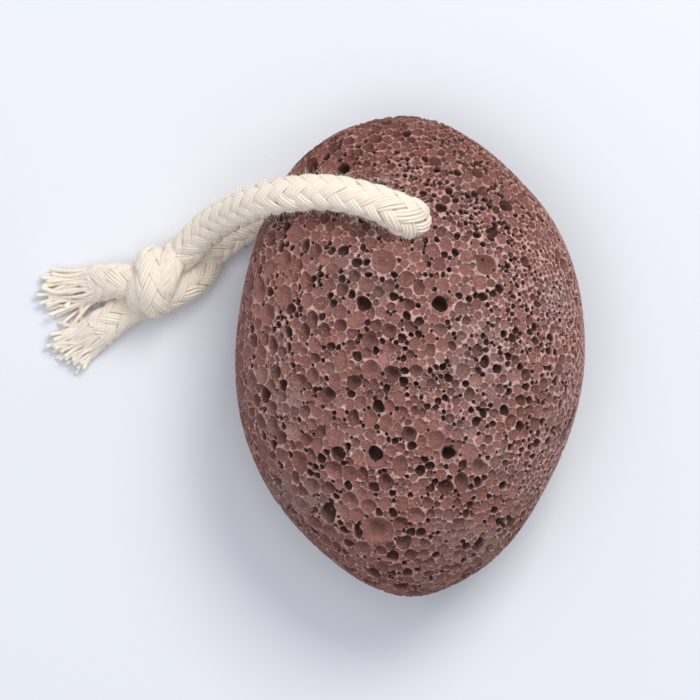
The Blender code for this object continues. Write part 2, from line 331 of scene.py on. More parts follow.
@dataclass(frozen=True)
class RopeRoute:
    """Middle line of the rope from knot to knot: front leg, hole, back leg."""

    radius: float = 3.6 * MM
    gap: float = 0.35 * MM
    hole_radius: float = 4.0 * MM
    hole_x: float = 0.3 * MM
    hole_y: float = 28.0 * MM
    front_mouth: tuple = (0.3, 28.0, 38.0)
    back_mouth: tuple = (0.3, 28.0, 9.0)
    points: tuple = (
        (-48.6, 20.2, 9.6), (-46.6, 22.2, 11.2), (-43.4, 25.6, 14.4), (-39.4, 28.6, 19.4),
        (-35.0, 30.6, 25.4), (-30.0, 32.4, 31.2), (-24.0, 33.4, 35.8), (-16.0, 33.5, 39.0),
        (-8.0, 31.7, 41.0), (-3.0, 29.7, 40.9), (-0.2, 28.2, 38.0), (0.3, 28.0, 33.0),
        (0.3, 28.0, 23.0), (0.3, 28.0, 15.0), (-0.4, 28.0, 10.0), (-3.4, 28.2, 6.0),
        (-8.0, 28.6, 4.1), (-16.0, 29.1, 3.9), (-26.0, 29.2, 3.9), (-33.6, 27.8, 4.0),
        (-38.8, 24.8, 4.2), (-41.8, 21.8, 4.4), (-43.4, 19.4, 4.8),
    )


def smooth_route(points: Sequence, gap: float) -> Array:
    """Lay evenly spaced points on a smooth curve.

    Args:
        points: rows of x, y, z and any further sizes to blend with them, in millimetres.
        gap: wanted distance between the new points, in metres.

    Returns:
        Rows of the same columns, in metres.
    """
    knots = np.array(points, float) * MM
    knots = np.vstack([2 * knots[0] - knots[1], knots, 2 * knots[-1] - knots[-2]])
    dense = []
    for p0, p1, p2, p3 in zip(knots, knots[1:], knots[2:], knots[3:]):
        for t in np.linspace(0.0, 1.0, CURVE_STEPS, endpoint=False):
            bend = (2 * p0 - 5 * p1 + 4 * p2 - p3) * t**2 + (3 * p1 - p0 - 3 * p2 + p3) * t**3
            dense.append(0.5 * (2 * p1 + (p2 - p0) * t + bend))
    dense = np.array(dense + [knots[-2]])
    steps = np.linalg.norm(np.diff(dense[:, :3], axis=0), axis=1)
    along = np.concatenate([[0.0], np.cumsum(steps)])
    wanted = np.linspace(0.0, along[-1], round(along[-1] / gap) + 1)
    return np.stack([np.interp(wanted, along, column) for column in dense.T], axis=1)


# --- Bubbles ---


class Opening(Enum):
    """How much of a bubble is left below the rubbed surface: its power draws the walls."""

    DISH = 2.2
    BOWL = 2.6
    HOLE = 6.0


@dataclass
class Bubble:
    """One gas bubble opened at the surface."""

    centre: Array
    across: Array
    along: Array
    normal: Array
    wide: float
    long: float
    depth: float
    kind: Opening
    waves: Array
    tone: float

    def reach(self, turn: Array) -> Array:
        """Work out how far the rim strays from an oval.

        Args:
            turn: turns round the bubble.

        Returns:
            The rim's distance there as a share of the oval's.
        """
        reach = np.ones_like(turn)
        for k, (size, phase) in enumerate(self.waves, start=2):
            reach += size * np.sin(k * turn + phase)
        return reach

    def share(self, points: Array) -> Array:
        """Measure points against the bubble's rim.

        Args:
            points: positions near the bubble.

        Returns:
            Distance from its middle as a share of the rim's.
        """
        away = points - self.centre
        u, v = away @ self.across / self.wide, away @ self.along / self.long
        return np.hypot(u, v) / self.reach(np.arctan2(v, u))

    def ring(self, shares: Array, turn: Array) -> Array:
        """Lay points round the bubble.

        Args:
            shares: their distances as shares of the rim's.
            turn: their turns.

        Returns:
            Their places.
        """
        reach = shares * self.reach(turn)
        u, v = reach * np.cos(turn) * self.wide, reach * np.sin(turn) * self.long
        return self.centre + u[..., None] * self.across + v[..., None] * self.along

    @property
    def half(self) -> float:
        """Return its mean half width."""
        return math.sqrt(self.wide * self.long)


@dataclass
class BubbleField:
    """All the bubbles over the stone: the large ones first, then smaller ones in what is left."""

    form: PebbleForm
    route: RopeRoute
    grid: float = 0.205 * MM
    scatter_seed: int = 5
    scatter_count: int = 58
    scatter_tries: int = 4000
    scatter_half: tuple = (0.9 * MM, 1.7 * MM)
    scatter_depth: tuple = (0.8, 1.4)
    scatter_space: float = 0.7 * MM
    hole_margin: float = 7.5 * MM
    rest_margin: float = 4.0 * MM
    tip_margin: float = 4.0 * MM
    samples: int = 260000
    overlap: float = 0.12 * MM
    swell: float = 0.17 * MM
    least: tuple = (0.37 * MM, 0.50 * MM, 0.80 * MM)
    zones: tuple = (18.5 * MM, 7.0 * MM)
    hole_sizes: tuple = (0.4, 0.9, 1.3)
    hole_shares: tuple = (0.36, 0.19, 0.07)
    fine_holes: float = 0.03
    bowl_share: float = 0.32
    deepest: float = 2.8 * MM
    # A bubble deeper than this share of its half width is a hole, and past the second a bowl.
    kinds_from: tuple = (1.2, 0.8)
    # How far a rim strays from an oval: placed by name, scattered, and packed in between.
    uneven: tuple = (0.10, 0.09, 0.12)
    # Lowest and highest depth as shares of the half width: holes, bowls, dishes.
    hole_depths: tuple = (1.3, 2.2)
    bowl_depths: tuple = (0.8, 1.2)
    dish_depths: tuple = (0.24, 0.60)
    # Largest half width in millimetres: in fine foam, how much more in coarse, and zone by zone.
    largest: tuple = (0.86, 1.10)
    zone_sizes: tuple = (1.0, 1.2, 1.6)
    # Each round: lowest and highest size as a share of the local largest, then how many.
    rounds: tuple = (
        (0.80, 1.25, 260), (0.55, 0.95, 1500), (0.36, 0.70, 2300), (0.22, 0.48, 2600),
        (0.0, 0.34, 3000),
    )
    # Large open bubbles of the front: right of and above the middle, half widths across and
    # along, in fifths of a millimetre, then the depth in millimetres.
    front_pits: tuple = (
        (29, 53, 13, 13, 1.2), (29, 53, 8, 9, 3.4), (-47, 53, 8, 8, 3.0),
        (38, -97, 10, 10, 1.6), (38, -97, 7, 7, 3.2), (-35, -101, 12, 12, 1.3),
        (-36, -97, 8, 8, 3.2), (-33, -175, 17, 17, 1.5), (-18, -201, 7, 7, 2.8),
        (25, -200, 5, 5, 2.4), (-3, -218, 6, 6, 2.2), (0, -176, 5, 6, 1.8),
        (10, -176, 5, 6, 1.8), (-73, -97, 8, 8, 2.6), (-90, -102, 5, 6, 2.2),
        (-63, -129, 5, 5, 2.2), (-53, -176, 5, 9, 2.4), (-25, -125, 8, 9, 1.8),
        (-48, -117, 6, 8, 1.5), (-11, -109, 8, 12, 1.2), (-61, -117, 9, 9, 1.2),
        (-61, -143, 9, 9, 1.2), (-42, -149, 8, 8, 1.2), (5, -158, 9, 9, 1.2),
        (-99, -129, 9, 9, 1.2), (75, 92, 11, 11, 1.2), (-5, 77, 9, 9, 1.2),
        (-27, 95, 13, 13, 1.2), (8, 69, 6, 9, 1.3), (-22, 26, 8, 8, 1.6),
        (-40, -13, 10, 10, 1.3), (8, 35, 5, 5, 1.3), (50, 48, 7, 7, 1.2), (29, 27, 7, 7, 1.2),
        (-17, 60, 5, 5, 1.6), (74, -5, 5, 7, 2.0), (52, -14, 8, 8, 1.2), (114, 159, 9, 7, 0.9),
        (82, 125, 8, 5, 1.6), (-131, 111, 5, 7, 2.4), (-98, 37, 6, 10, 1.6),
        (-106, 24, 6, 10, 1.6), (-120, 48, 6, 6, 1.5), (-68, 67, 7, 7, 1.4),
        (-67, 106, 6, 6, 1.6), (-105, 111, 5, 8, 1.6), (-70, 31, 7, 7, 1.4),
        (-138, 11, 6, 10, 1.6),
    )
    # Small dark ones of the front, the same way.
    dark_pits: tuple = (
        (-96, -110, 4, 4, 2.4), (-63, -90, 3, 5, 2.0), (-75, -140, 4, 4, 2.2),
        (-96, -154, 4, 4, 2.2), (-71, -167, 4, 4, 2.2), (1, -89, 5, 5, 2.0),
        (-16, -84, 4, 4, 1.6), (19, -109, 5, 5, 2.0), (24, -125, 4, 4, 2.0), (7, 51, 3, 3, 1.6),
        (38, 87, 3, 3, 1.6), (-42, 82, 5, 3, 1.8), (0, 22, 3, 3, 1.4), (-15, 14, 3, 3, 1.4),
        (-6, 8, 3, 3, 1.4), (19, -14, 3, 4, 1.6), (32, -10, 4, 4, 1.8), (72, -18, 3, 3, 1.6),
        (5, -27, 3, 3, 1.6), (55, -27, 4, 4, 1.8), (83, 170, 4, 4, 1.8), (89, 179, 3, 3, 1.6),
        (98, 130, 4, 4, 1.8), (101, 97, 3, 3, 1.6), (-135, 81, 3, 4, 1.6),
        (-136, 69, 3, 3, 1.4), (-111, 69, 2, 5, 1.8), (-90, 82, 4, 4, 1.8),
        (-90, 72, 3, 3, 1.6), (-80, 61, 4, 4, 1.8), (-131, 45, 3, 3, 1.6),
        (-124, 34, 3, 3, 1.2), (-133, 32, 4, 4, 1.4), (-122, 9, 3, 6, 2.0),
        (-80, 10, 5, 5, 1.6), (-79, 106, 4, 5, 1.2), (30, 149, 6, 6, 1.8),
    )

    def spot(self, y: float, turn: float) -> tuple[Array, Array]:
        """Return the surface point at y and turn, and the way out there."""
        where = np.array([y]), np.array([turn])
        return self.form.surface(*where)[0], self.form.outward(*where)[0]

    def bubble(
        self,
        chance: np.random.Generator,
        point: Array,
        normal: Array,
        halves: tuple[float, float],
        depth: float,
        kind: Opening,
        uneven: float,
        lean: float = 0.0,
    ) -> Bubble:
        """Make one bubble.

        Args:
            chance: source of its unevenness and tone.
            point: its middle on the surface.
            normal: the way out there.
            halves: half widths across and along.
            depth: depth below the surface.
            kind: dish, bowl, or hole that breaks through its neighbours.
            uneven: how far its rim strays from an oval.
            lean: turn of its long way, in radians.

        Returns:
            The bubble.
        """
        along = np.array([0.0, 1.0, 0.0]) - normal * normal[1]
        along /= np.linalg.norm(along)
        across = np.cross(along, normal)
        cos, sin = math.cos(lean), math.sin(lean)
        across, along = across * cos + along * sin, along * cos - across * sin
        waves = np.array(
            [
                (uneven * size * chance.uniform(0.3, 1.0), chance.uniform(0.0, 2 * math.pi))
                for size in (1.0, 0.8, 0.45, 0.3)
            ]
        )
        tone = chance.normal(0.0, 1.0)
        return Bubble(point, across, along, normal, *halves, depth, kind, waves, tone)

    def large_ones(self, chance: np.random.Generator) -> list[Bubble]:
        """Make the bubbles that have a place of their own.

        Args:
            chance: source of their unevenness.

        Returns:
            The named bubbles of the front, then those scattered round the stone.
        """
        found = []
        hole_from, bowl_from = self.kinds_from
        for across, above, wide, long, depth in self.front_pits + self.dark_pits:
            x, y = across * self.grid, above * self.grid
            point, normal = self.spot(y, self.form.front_turn(x, y))
            halves = (wide * self.grid, long * self.grid)
            share = depth * MM / math.sqrt(halves[0] * halves[1])
            kind = Opening.BOWL if share > bowl_from else Opening.DISH
            if share > hole_from:
                kind = Opening.HOLE
            uneven = self.uneven[0]
            found.append(self.bubble(chance, point, normal, halves, depth * MM, kind, uneven))
        for y, turn, half, deep in self.scattered():
            point, normal = self.spot(y, turn)
            kind, uneven = Opening.BOWL, self.uneven[1]
            found.append(self.bubble(chance, point, normal, (half, half), deep, kind, uneven))
        return found

    def scattered(self) -> list[tuple[float, float, float, float]]:
        """Scatter the larger bubbles that the solid stone has all round.

        Returns:
            For each, y, turn, half width and depth.
        """
        chance = random.Random(self.scatter_seed)
        taken = []
        for across, above, wide, long, _ in self.front_pits:
            x, y = across * self.grid, above * self.grid
            point = self.form.surface(y, self.form.front_turn(x, y))
            taken.append((point, max(wide, long) * self.grid))
        found = []
        length = self.form.half_length
        for _ in range(self.scatter_tries):
            y = chance.uniform(-length + self.tip_margin, length - self.tip_margin)
            turn = chance.uniform(0.0, 2 * math.pi)
            half = chance.uniform(*self.scatter_half)
            deep = half * chance.uniform(*self.scatter_depth)
            point = self.form.surface(y, turn)
            near = math.hypot(point[0] - self.route.hole_x, point[1] - self.route.hole_y)
            if near < self.hole_margin or point[2] < self.rest_margin:
                continue
            places = np.array([place for place, _ in taken])
            sizes = np.array([size for _, size in taken])
            apart = np.linalg.norm(places - point, axis=1)
            if (apart < half + sizes + self.scatter_space).any():
                continue
            taken.append((point, half))
            found.append((y, turn, half, deep))
            if len(found) == self.scatter_count:
                break
        return found

    def grain(self, points: Array) -> Array:
        """Work out how coarse the foam is: most at the lower left, with drifts of 1 to 2 cm.

        Args:
            points: places on the stone.

        Returns:
            For each, from 0, fine, to 1, coarse.
        """
        x, y, z = (points / self.form.half_length).T
        drift = 0.18 * np.sin(9 * x + 2 * y) * np.cos(7 * y - 3 * z)
        drift = drift + 0.12 * np.sin(15 * y + 11 * x)
        return np.clip(0.52 - 0.62 * x - 0.30 * y + drift, 0.0, 1.0)

    def zone(self, heights: Array) -> Array:
        """Return 0 for the side that shows most, 1 for the flanks and 2 for the underside."""
        return (heights < self.zones[0]).astype(int) + (heights < self.zones[1])

    def seeds(self, chance: np.random.Generator) -> tuple[Array, Array, Array]:
        """Spread points evenly over the surface.

        Args:
            chance: source of their places.

        Returns:
            Their y in rising order, places and ways out.
        """
        form = self.form
        tries = int(self.samples * 2.4)
        y = chance.uniform(-form.half_length, form.half_length, tries)
        turn = chance.uniform(0.0, 2 * math.pi, tries)
        step = 1e-4
        along = (form.surface(y + step, turn) - form.surface(y - step, turn)) / (2 * step)
        around = (form.surface(y, turn + step) - form.surface(y, turn - step)) / (2 * step)
        area = np.linalg.norm(np.cross(along, around), axis=1)
        keep = chance.uniform(0.0, np.quantile(area, 0.995), tries) < area
        y, turn = y[keep], turn[keep]
        order = np.argsort(y)
        y, turn = y[order], turn[order]
        return y, form.surface(y, turn), form.outward(y, turn)

    def grow(self) -> list[Bubble]:
        """Fill the surface with bubbles.

        Returns:
            Every bubble, the named ones first.
        """
        chance = np.random.default_rng(11)
        found = self.large_ones(chance)
        y, places, normals = self.seeds(chance)
        coarse = self.grain(places)
        zone = self.zone(places[:, 2])
        from_hole = np.hypot(places[:, 0] - self.route.hole_x, places[:, 1] - self.route.hole_y)
        room = np.minimum(from_hole - self.route.hole_radius - 0.1 * MM, 5 * MM)

        def take(centre: Array, wide: float, long: float, reach: float) -> None:
            """Shrink the room of the places near a new bubble.

            Args:
                centre: its middle.
                wide: its half width across.
                long: its half width along.
                reach: how far from it room can shrink.
            """
            low, high = np.searchsorted(y, (centre[1] - reach, centre[1] + reach))
            away = places[low:high] - centre
            ratio = wide / long
            near = np.sqrt(away[:, 0] ** 2 + (away[:, 1] * ratio) ** 2 + away[:, 2] ** 2) - wide
            room[low:high] = np.minimum(room[low:high], near)

        for bubble in found:
            take(bubble.centre, bubble.wide, bubble.long, bubble.long + 4 * MM)

        smallest = np.array(self.least)[zone]
        fine, gain = self.largest
        largest = (fine + gain * coarse) * MM * np.array(self.zone_sizes)[zone]
        half_overlap = self.overlap * 0.5
        for low, high, most in self.rounds:
            least = np.maximum(low * largest, smallest)
            open_places = np.flatnonzero(room + half_overlap > least)
            made = 0
            while made < most and len(open_places) > 20:
                picks = open_places[chance.integers(0, len(open_places), 6)]
                picks = picks[room[picks] + half_overlap > least[picks]]
                if len(picks) == 0:
                    still = room[open_places] + half_overlap > least[open_places]
                    open_places = open_places[still]
                    continue
                wanted = chance.uniform(low, high, len(picks)) * largest[picks]
                top = np.maximum(wanted, least[picks])
                fit = np.minimum(room[picks] + self.overlap * chance.uniform(0.4, 1.3), top)
                # The place that its size fills best, so that neighbours press on each other.
                best = np.argmin(np.abs(room[picks] + half_overlap - top))
                half = max(fit[best], smallest[picks[best]])
                place = picks[best]
                stretch = 1.0 + 0.5 * coarse[place] * chance.uniform(0.0, 1.0)
                wide, long = half / math.sqrt(stretch), half * math.sqrt(stretch)
                found.append(
                    self.dress(chance, places[place], normals[place], wide, long, coarse[place])
                )
                take(places[place], wide, long, long + 2.6 * MM)
                made += 1
                if made % 200 == 0:
                    still = room[open_places] + half_overlap > least[open_places]
                    open_places = open_places[still]
        # Neighbours press on each other until thin walls are left, least where the foam is fine.
        pressed = self.grain(np.array([bubble.centre for bubble in found]))
        for bubble, share in zip(found[self.named_count() :], pressed[self.named_count() :]):
            swell = self.swell * (0.2 if bubble.kind is Opening.HOLE else 0.30 + 0.70 * share)
            bubble.wide += swell
            bubble.long += swell
        return found

    def named_count(self) -> int:
        """Return how many bubbles are placed by name."""
        return len(self.front_pits) + len(self.dark_pits)

    def dress(
        self,
        chance: np.random.Generator,
        point: Array,
        normal: Array,
        wide: float,
        long: float,
        coarse: float,
    ) -> Bubble:
        """Give a new bubble its kind: dish, bowl or deep hole.

        Args:
            chance: source of its kind and unevenness.
            point: its middle on the surface.
            normal: the way out there.
            wide: its half width across.
            long: its half width along.
            coarse: how coarse the foam is there.

        Returns:
            The bubble.
        """
        half = math.sqrt(wide * long)
        pick = chance.uniform()
        holes = float(np.interp(half / MM, self.hole_sizes, self.hole_shares))
        holes += self.fine_holes * (1.0 - coarse)
        if pick < holes:
            kind, depth = Opening.HOLE, half * chance.uniform(*self.hole_depths)
        elif pick < holes + self.bowl_share:
            kind, depth = Opening.BOWL, half * chance.uniform(*self.bowl_depths)
        else:
            kind, depth = Opening.DISH, half * chance.uniform(*self.dish_depths)
        lean = chance.normal(0.0, 0.35) + 0.25 * coarse
        depth = min(depth, self.deepest)
        uneven = self.uneven[2]
        return self.bubble(chance, point, normal, (wide, long), depth, kind, uneven, lean)


@dataclass
class PumiceStone:
    """The stone with its open bubbles and the drilled hole."""

    form: PebbleForm
    route: RopeRoute
    bubbles: BubbleField
    rim_step: float = 0.43 * MM
    zone_steps: tuple = (1.0, 1.5, 2.3)
    land_gap: float = 0.44 * MM
    edge_points: int = 420
    hole_points: int = 64
    hole_levels: int = 12
    fewest_points: tuple = (7, 9)
    most_points: int = 64
    chart_width: float = 0.8
    chart_length: float = 45.0 * MM
    # Shares of a rim between which a neighbour's rim can cut it, and in how many steps.
    cut_from: float = 0.30
    cut_steps: int = 15
    merge_rims: float = 0.27 * MM
    merge_rest: float = 0.05 * MM
    detail_from: float = 0.75 * MM
    # Rings inside a rim for small and for large bubbles: share of the rim, share of its points.
    inner_rings: dict = field(
        default_factory=lambda: {
            Opening.DISH: (((0.62, 0.5),), ((0.74, 0.55),)),
            Opening.BOWL: (((0.66, 0.6),), ((0.82, 0.65), (0.45, 0.35))),
            Opening.HOLE: (((0.83, 0.8),), ((0.87, 0.9), (0.5, 0.4))),
        }
    )
    hole_clear: float = 0.10 * MM
    hole_lip: float = 0.95
    # The bubbles rose as the lava set, so that they lean under their rims on one side.
    steep_side: tuple = (0.35, 0.94, 0.0)
    slant: float = 0.38
    # Painted shade inside the deep holes: at these half widths in millimetres, this much.
    hole_sizes: tuple = (0.45, 1.0, 1.7)
    hole_shade: tuple = (1.0, 0.80, 0.60)
    roughness: float = 0.03 * MM
    rough_scale: float = 0.9 * MM
    rough_rise: float = 0.35
    sharp_from: float = math.radians(38)
    # How far from the drilled hole the rope's middle line can rub, and the stone be rubbed.
    rub_reach: tuple = (14 * MM, 19 * MM)

    def chart(self, y: Array, turn: Array) -> Array:
        """Flatten the front or the back half, for drawing its net.

        Args:
            y: places along the stone.
            turn: their turns.

        Returns:
            Flat coordinates in millimetres, a row each.
        """
        power = 2 / self.form.section_power
        across = np.copysign(np.abs(np.cos(turn)) ** power, np.cos(turn))
        bend = np.arctan2(np.abs(np.sin(turn)) ** power, across)
        wide = self.chart_width * self.form.outline(y) * (0.5 * math.pi - bend)
        theta = np.arccos(np.clip(-y / self.form.half_length, -1.0, 1.0))
        return np.stack([wide, self.chart_length * theta], axis=1) / MM

    def rims(self, bubbles: list[Bubble]) -> list[tuple[Array, Array]]:
        """Find each bubble's rim: its own, or where a neighbour's cuts it short.

        Args:
            bubbles: all bubbles.

        Returns:
            For each, the turns round it and its rim's share there.
        """
        centres = np.array([bubble.centre for bubble in bubbles])
        reach = np.array([max(bubble.wide, bubble.long) for bubble in bubbles])
        zones = self.bubbles.zone(centres[:, 2])
        holes = np.array([bubble.kind is Opening.HOLE for bubble in bubbles])
        found = []
        shares = np.linspace(self.cut_from, 1.0, self.cut_steps)
        for i, bubble in enumerate(bubbles):
            step = self.rim_step * self.zone_steps[zones[i]]
            least = self.fewest_points[int(holes[i] and zones[i] == 0)]
            wanted = round(2 * math.pi * bubble.half / step)
            count = int(np.clip(wanted, least, self.most_points))
            turn = 2 * math.pi * (np.arange(count) + 0.37 * i) / count
            rim = np.ones(count)
            if not holes[i]:
                apart = np.linalg.norm(centres - bubble.centre, axis=1)
                near = np.flatnonzero((apart < 1.12 * (reach + reach[i])) & ~holes)
                turns = np.repeat(turn[:, None], len(shares), axis=1)
                spots = bubble.ring(shares[None, :], turns)
                flat = spots.reshape(-1, 3)
                closest = np.full(flat.shape[0], 9.0)
                for j in near:
                    if j != i:
                        closest = np.minimum(closest, bubbles[j].share(flat))
                spare = closest.reshape(count, -1) - shares
                cut = (spare < 0).argmax(axis=1)
                rows = np.flatnonzero((spare < 0).any(axis=1) & (cut > 0))
                before, after = spare[rows, cut[rows] - 1], spare[rows, cut[rows]]
                width = shares[1] - shares[0]
                rim[rows] = shares[cut[rows] - 1] + width * before / (before - after)
                rim[(spare < 0).any(axis=1) & (cut == 0)] = shares[0]
            found.append((turn, rim))
        return found

    def drawn(self, pairs: list[tuple[Bubble, tuple[Array, Array]]]) -> tuple[Array, Array]:
        """Lay the points that draw some bubbles.

        Args:
            pairs: the bubbles, each with its rim.

        Returns:
            Points on their rims, then those of their walls and floors.
        """
        edges, rest = [], []
        for bubble, (turn, rim) in pairs:
            edges.append(bubble.ring(rim, turn))
            rest.append(bubble.centre[None])
            large = bubble.half > self.detail_from
            for share, density in self.inner_rings[bubble.kind][large]:
                count = max(4, round(len(turn) * density))
                between = turn[0] + 2 * math.pi * (np.arange(count) + 0.5) / count
                reach = np.interp(between, turn, rim, period=2 * math.pi)
                rest.append(bubble.ring(share * reach, between))
        return np.vstack(edges), np.vstack(rest)

    def outside(self, points: Array, holes: list[Bubble]) -> Array:
        """Leave out the points in the deep holes or on their rims.

        Args:
            points: places on the surface.
            holes: the deep holes.

        Returns:
            The points that lie clear of them.
        """
        order = np.argsort(points[:, 1])
        points = points[order]
        free = np.ones(len(points), bool)
        for hole in holes:
            reach = 1.5 * max(hole.wide, hole.long)
            ends = (hole.centre[1] - reach, hole.centre[1] + reach)
            low, high = np.searchsorted(points[:, 1], ends)
            near = low + np.flatnonzero(np.abs(points[low:high, 0] - hole.centre[0]) < reach)
            near = near[np.abs(points[near, 2] - hole.centre[2]) < reach]
            free[near] &= hole.share(points[near]) > 1.0 + self.hole_clear / hole.half
        return points[free]

    def thin(self, y: Array, turn: Array, cell: float) -> tuple[Array, Array]:
        """Drop points that crowd others.

        Args:
            y: places along the stone.
            turn: their turns.
            cell: about how close two points may come.

        Returns:
            y and turn of the points that stay.
        """
        for shift in (0.0, 0.5):
            spots = np.floor(self.form.surface(y, turn) / cell + shift).astype(int)
            _, first = np.unique(spots, axis=0, return_index=True)
            first = np.sort(first)
            y, turn = y[first], turn[first]
        return y, turn

    def on_skin(self, points: Array) -> tuple[Array, Array]:
        """Find the places on the surface nearest some points.

        Args:
            points: places near it.

        Returns:
            y and turn of each.
        """
        length = self.form.half_length - 0.2 * MM
        y = np.clip(points[:, 1], -length, length)
        return y, self.form.turn_of(np.column_stack([points[:, 0], y, points[:, 2]]))

    def spread(
        self, bubbles: list[Bubble], rims: list[tuple[Array, Array]]
    ) -> tuple[Array, Array, Array]:
        """Choose every point that the skin is drawn through.

        Args:
            bubbles: all bubbles.
            rims: each bubble's rim.

        Returns:
            y and turn of each point, and pairs of point numbers that an edge must join.
        """
        chance = np.random.default_rng(3)
        pairs = list(zip(bubbles, rims))
        of_holes = [pair for pair in pairs if pair[0].kind is Opening.HOLE]
        holes = [bubble for bubble, _ in of_holes]
        ring_points, hole_rest = self.drawn(of_holes)
        links = self.ring_links(of_holes)
        edges, rest = self.drawn([pair for pair in pairs if pair[0].kind is not Opening.HOLE])
        edges, rest = self.outside(edges, holes), self.outside(rest, holes)
        ring_y, ring_turn = self.on_skin(ring_points)
        edge_y, edge_turn = self.thin(*self.on_skin(edges), self.merge_rims)
        rest_y, rest_turn = self.thin(*self.on_skin(np.vstack([hole_rest, rest])), self.merge_rest)
        y = np.concatenate([ring_y, edge_y, rest_y])
        turn = np.concatenate([ring_turn, edge_turn, rest_turn])
        tree = kd_tree(self.form.surface(y, turn))
        length = self.form.half_length
        land_y = -length * np.cos(chance.uniform(0.02, math.pi - 0.02, 90000))
        land_turn = chance.uniform(0.0, 2 * math.pi, len(land_y))
        land_y, land_turn = self.thin(land_y, land_turn, self.land_gap)
        points = self.form.surface(land_y, land_turn)
        gaps = self.land_gap * np.array(self.zone_steps)[self.bubbles.zone(points[:, 2])]
        free = np.array([tree.find(point)[2] > gap for point, gap in zip(points, gaps)])
        y = np.concatenate([y, land_y[free]])
        turn = np.concatenate([turn, land_turn[free]])
        points = self.form.surface(y, turn)
        edge = np.abs(points[:, 2] - self.form.edge_height) > 0.10 * MM
        away = np.hypot(points[:, 0] - self.route.hole_x, points[:, 1] - self.route.hole_y)
        keep = edge & (away > self.route.hole_radius + 0.14 * MM)
        number = np.where(keep, np.cumsum(keep) - 1, -1)
        links = number[links]
        return y[keep], turn[keep], links[(links >= 0).all(axis=1)]

    def ring_links(self, pairs: list[tuple[Bubble, tuple[Array, Array]]]) -> Array:
        """Number the rim edges that the net keeps, where a rim crosses no other.

        Args:
            pairs: the deep holes, each with its rim.

        Returns:
            A row with both ends' point numbers for each edge.
        """
        links, first = [], 0
        taken, sizes = np.empty((0, 3)), np.empty(0)
        for bubble, (turn, _) in pairs:
            reach = 1.15 * max(bubble.wide, bubble.long)
            near_edge = abs(bubble.centre[2] - self.form.edge_height) < reach + self.rim_step
            apart = np.linalg.norm(taken - bubble.centre, axis=1)
            if not near_edge and (apart > sizes + reach).all():
                ring = first + np.arange(len(turn))
                links.append(np.stack([ring, np.roll(ring, -1)], axis=1))
                taken, sizes = np.vstack([taken, bubble.centre]), np.append(sizes, reach)
            first += len(turn)
        return np.vstack(links)

    def hole_rim(self, front: bool) -> tuple[Array, Array]:
        """Lay the points round the drilled hole on one face.

        Args:
            front: whether it is the front face.

        Returns:
            y and turn of each.
        """
        around = 2 * math.pi * np.arange(self.hole_points) / self.hole_points
        x = self.route.hole_x + self.route.hole_radius * np.cos(around)
        y = self.route.hole_y + self.route.hole_radius * np.sin(around)
        share = (x - self.form.middle(y)) / self.form.outline(y)
        bent = np.copysign(np.abs(share) ** (self.form.section_power / 2), share)
        turn = np.arccos(bent)
        return y, turn if front else 2 * math.pi - turn

    def net(self, y: Array, turn: Array, links: Array) -> tuple[Array, Array, Array]:
        """Join the points into a skin of triangles.

        Args:
            y: places along the stone of the points on the face.
            turn: their turns.
            links: pairs of them that an edge must join.

        Returns:
            y and turn of all points, and the triangles' corner numbers.
        """
        theta = np.linspace(0.0, math.pi, self.edge_points)
        edge_y = -self.form.half_length * np.cos(theta)
        inner = edge_y[1:-1]
        loop_y = np.concatenate([edge_y, inner[::-1]])
        loop_turn = np.concatenate([np.zeros(len(edge_y)), np.full(len(inner), math.pi)])
        rims = [self.hole_rim(True), self.hole_rim(False)]
        all_y = np.concatenate([loop_y, rims[0][0], rims[1][0], y])
        all_turn = np.concatenate([loop_turn, rims[0][1], rims[1][1], turn])
        loop = np.arange(len(loop_y))
        first = len(loop_y)
        rim_ids = [
            np.arange(first, first + self.hole_points),
            np.arange(first + self.hole_points, first + 2 * self.hole_points),
        ]
        base = first + 2 * self.hole_points
        flat = self.chart(all_y, all_turn)
        triangles = []
        for side in (0, 1):
            on_side = (all_turn[base:] < math.pi) if side == 0 else (all_turn[base:] > math.pi)
            ids = np.concatenate([loop, rim_ids[side], base + np.flatnonzero(on_side)])
            spots = [Vector(spot) for spot in flat[ids]]
            rim_edges = [
                (first + k, first + (k + 1) % self.hole_points) for k in range(self.hole_points)
            ]
            number = np.full(len(all_y), -1)
            number[ids] = np.arange(len(ids))
            on_this = number[base + links]
            kept = on_this[(on_this >= 0).all(axis=1)]
            fixed = rim_edges + [tuple(int(end) for end in link) for link in kept]
            result = delaunay_2d_cdt(spots, fixed, [list(range(first))], 1, 1e-6)
            origin = np.array([source[0] for source in result[3]])
            faces = ids[origin[np.array(result[2])]]
            in_rim = np.isin(faces, rim_ids[side]).all(axis=1)
            faces = faces[~in_rim]
            first_way, second_way = (flat[faces[:, k]] - flat[faces[:, 0]] for k in (1, 2))
            area = first_way[:, 0] * second_way[:, 1] - first_way[:, 1] * second_way[:, 0]
            faces = np.where((area > 0)[:, None], faces, faces[:, ::-1])
            triangles.append(faces if side == 0 else faces[:, ::-1])
        return all_y, all_turn, np.vstack(triangles)

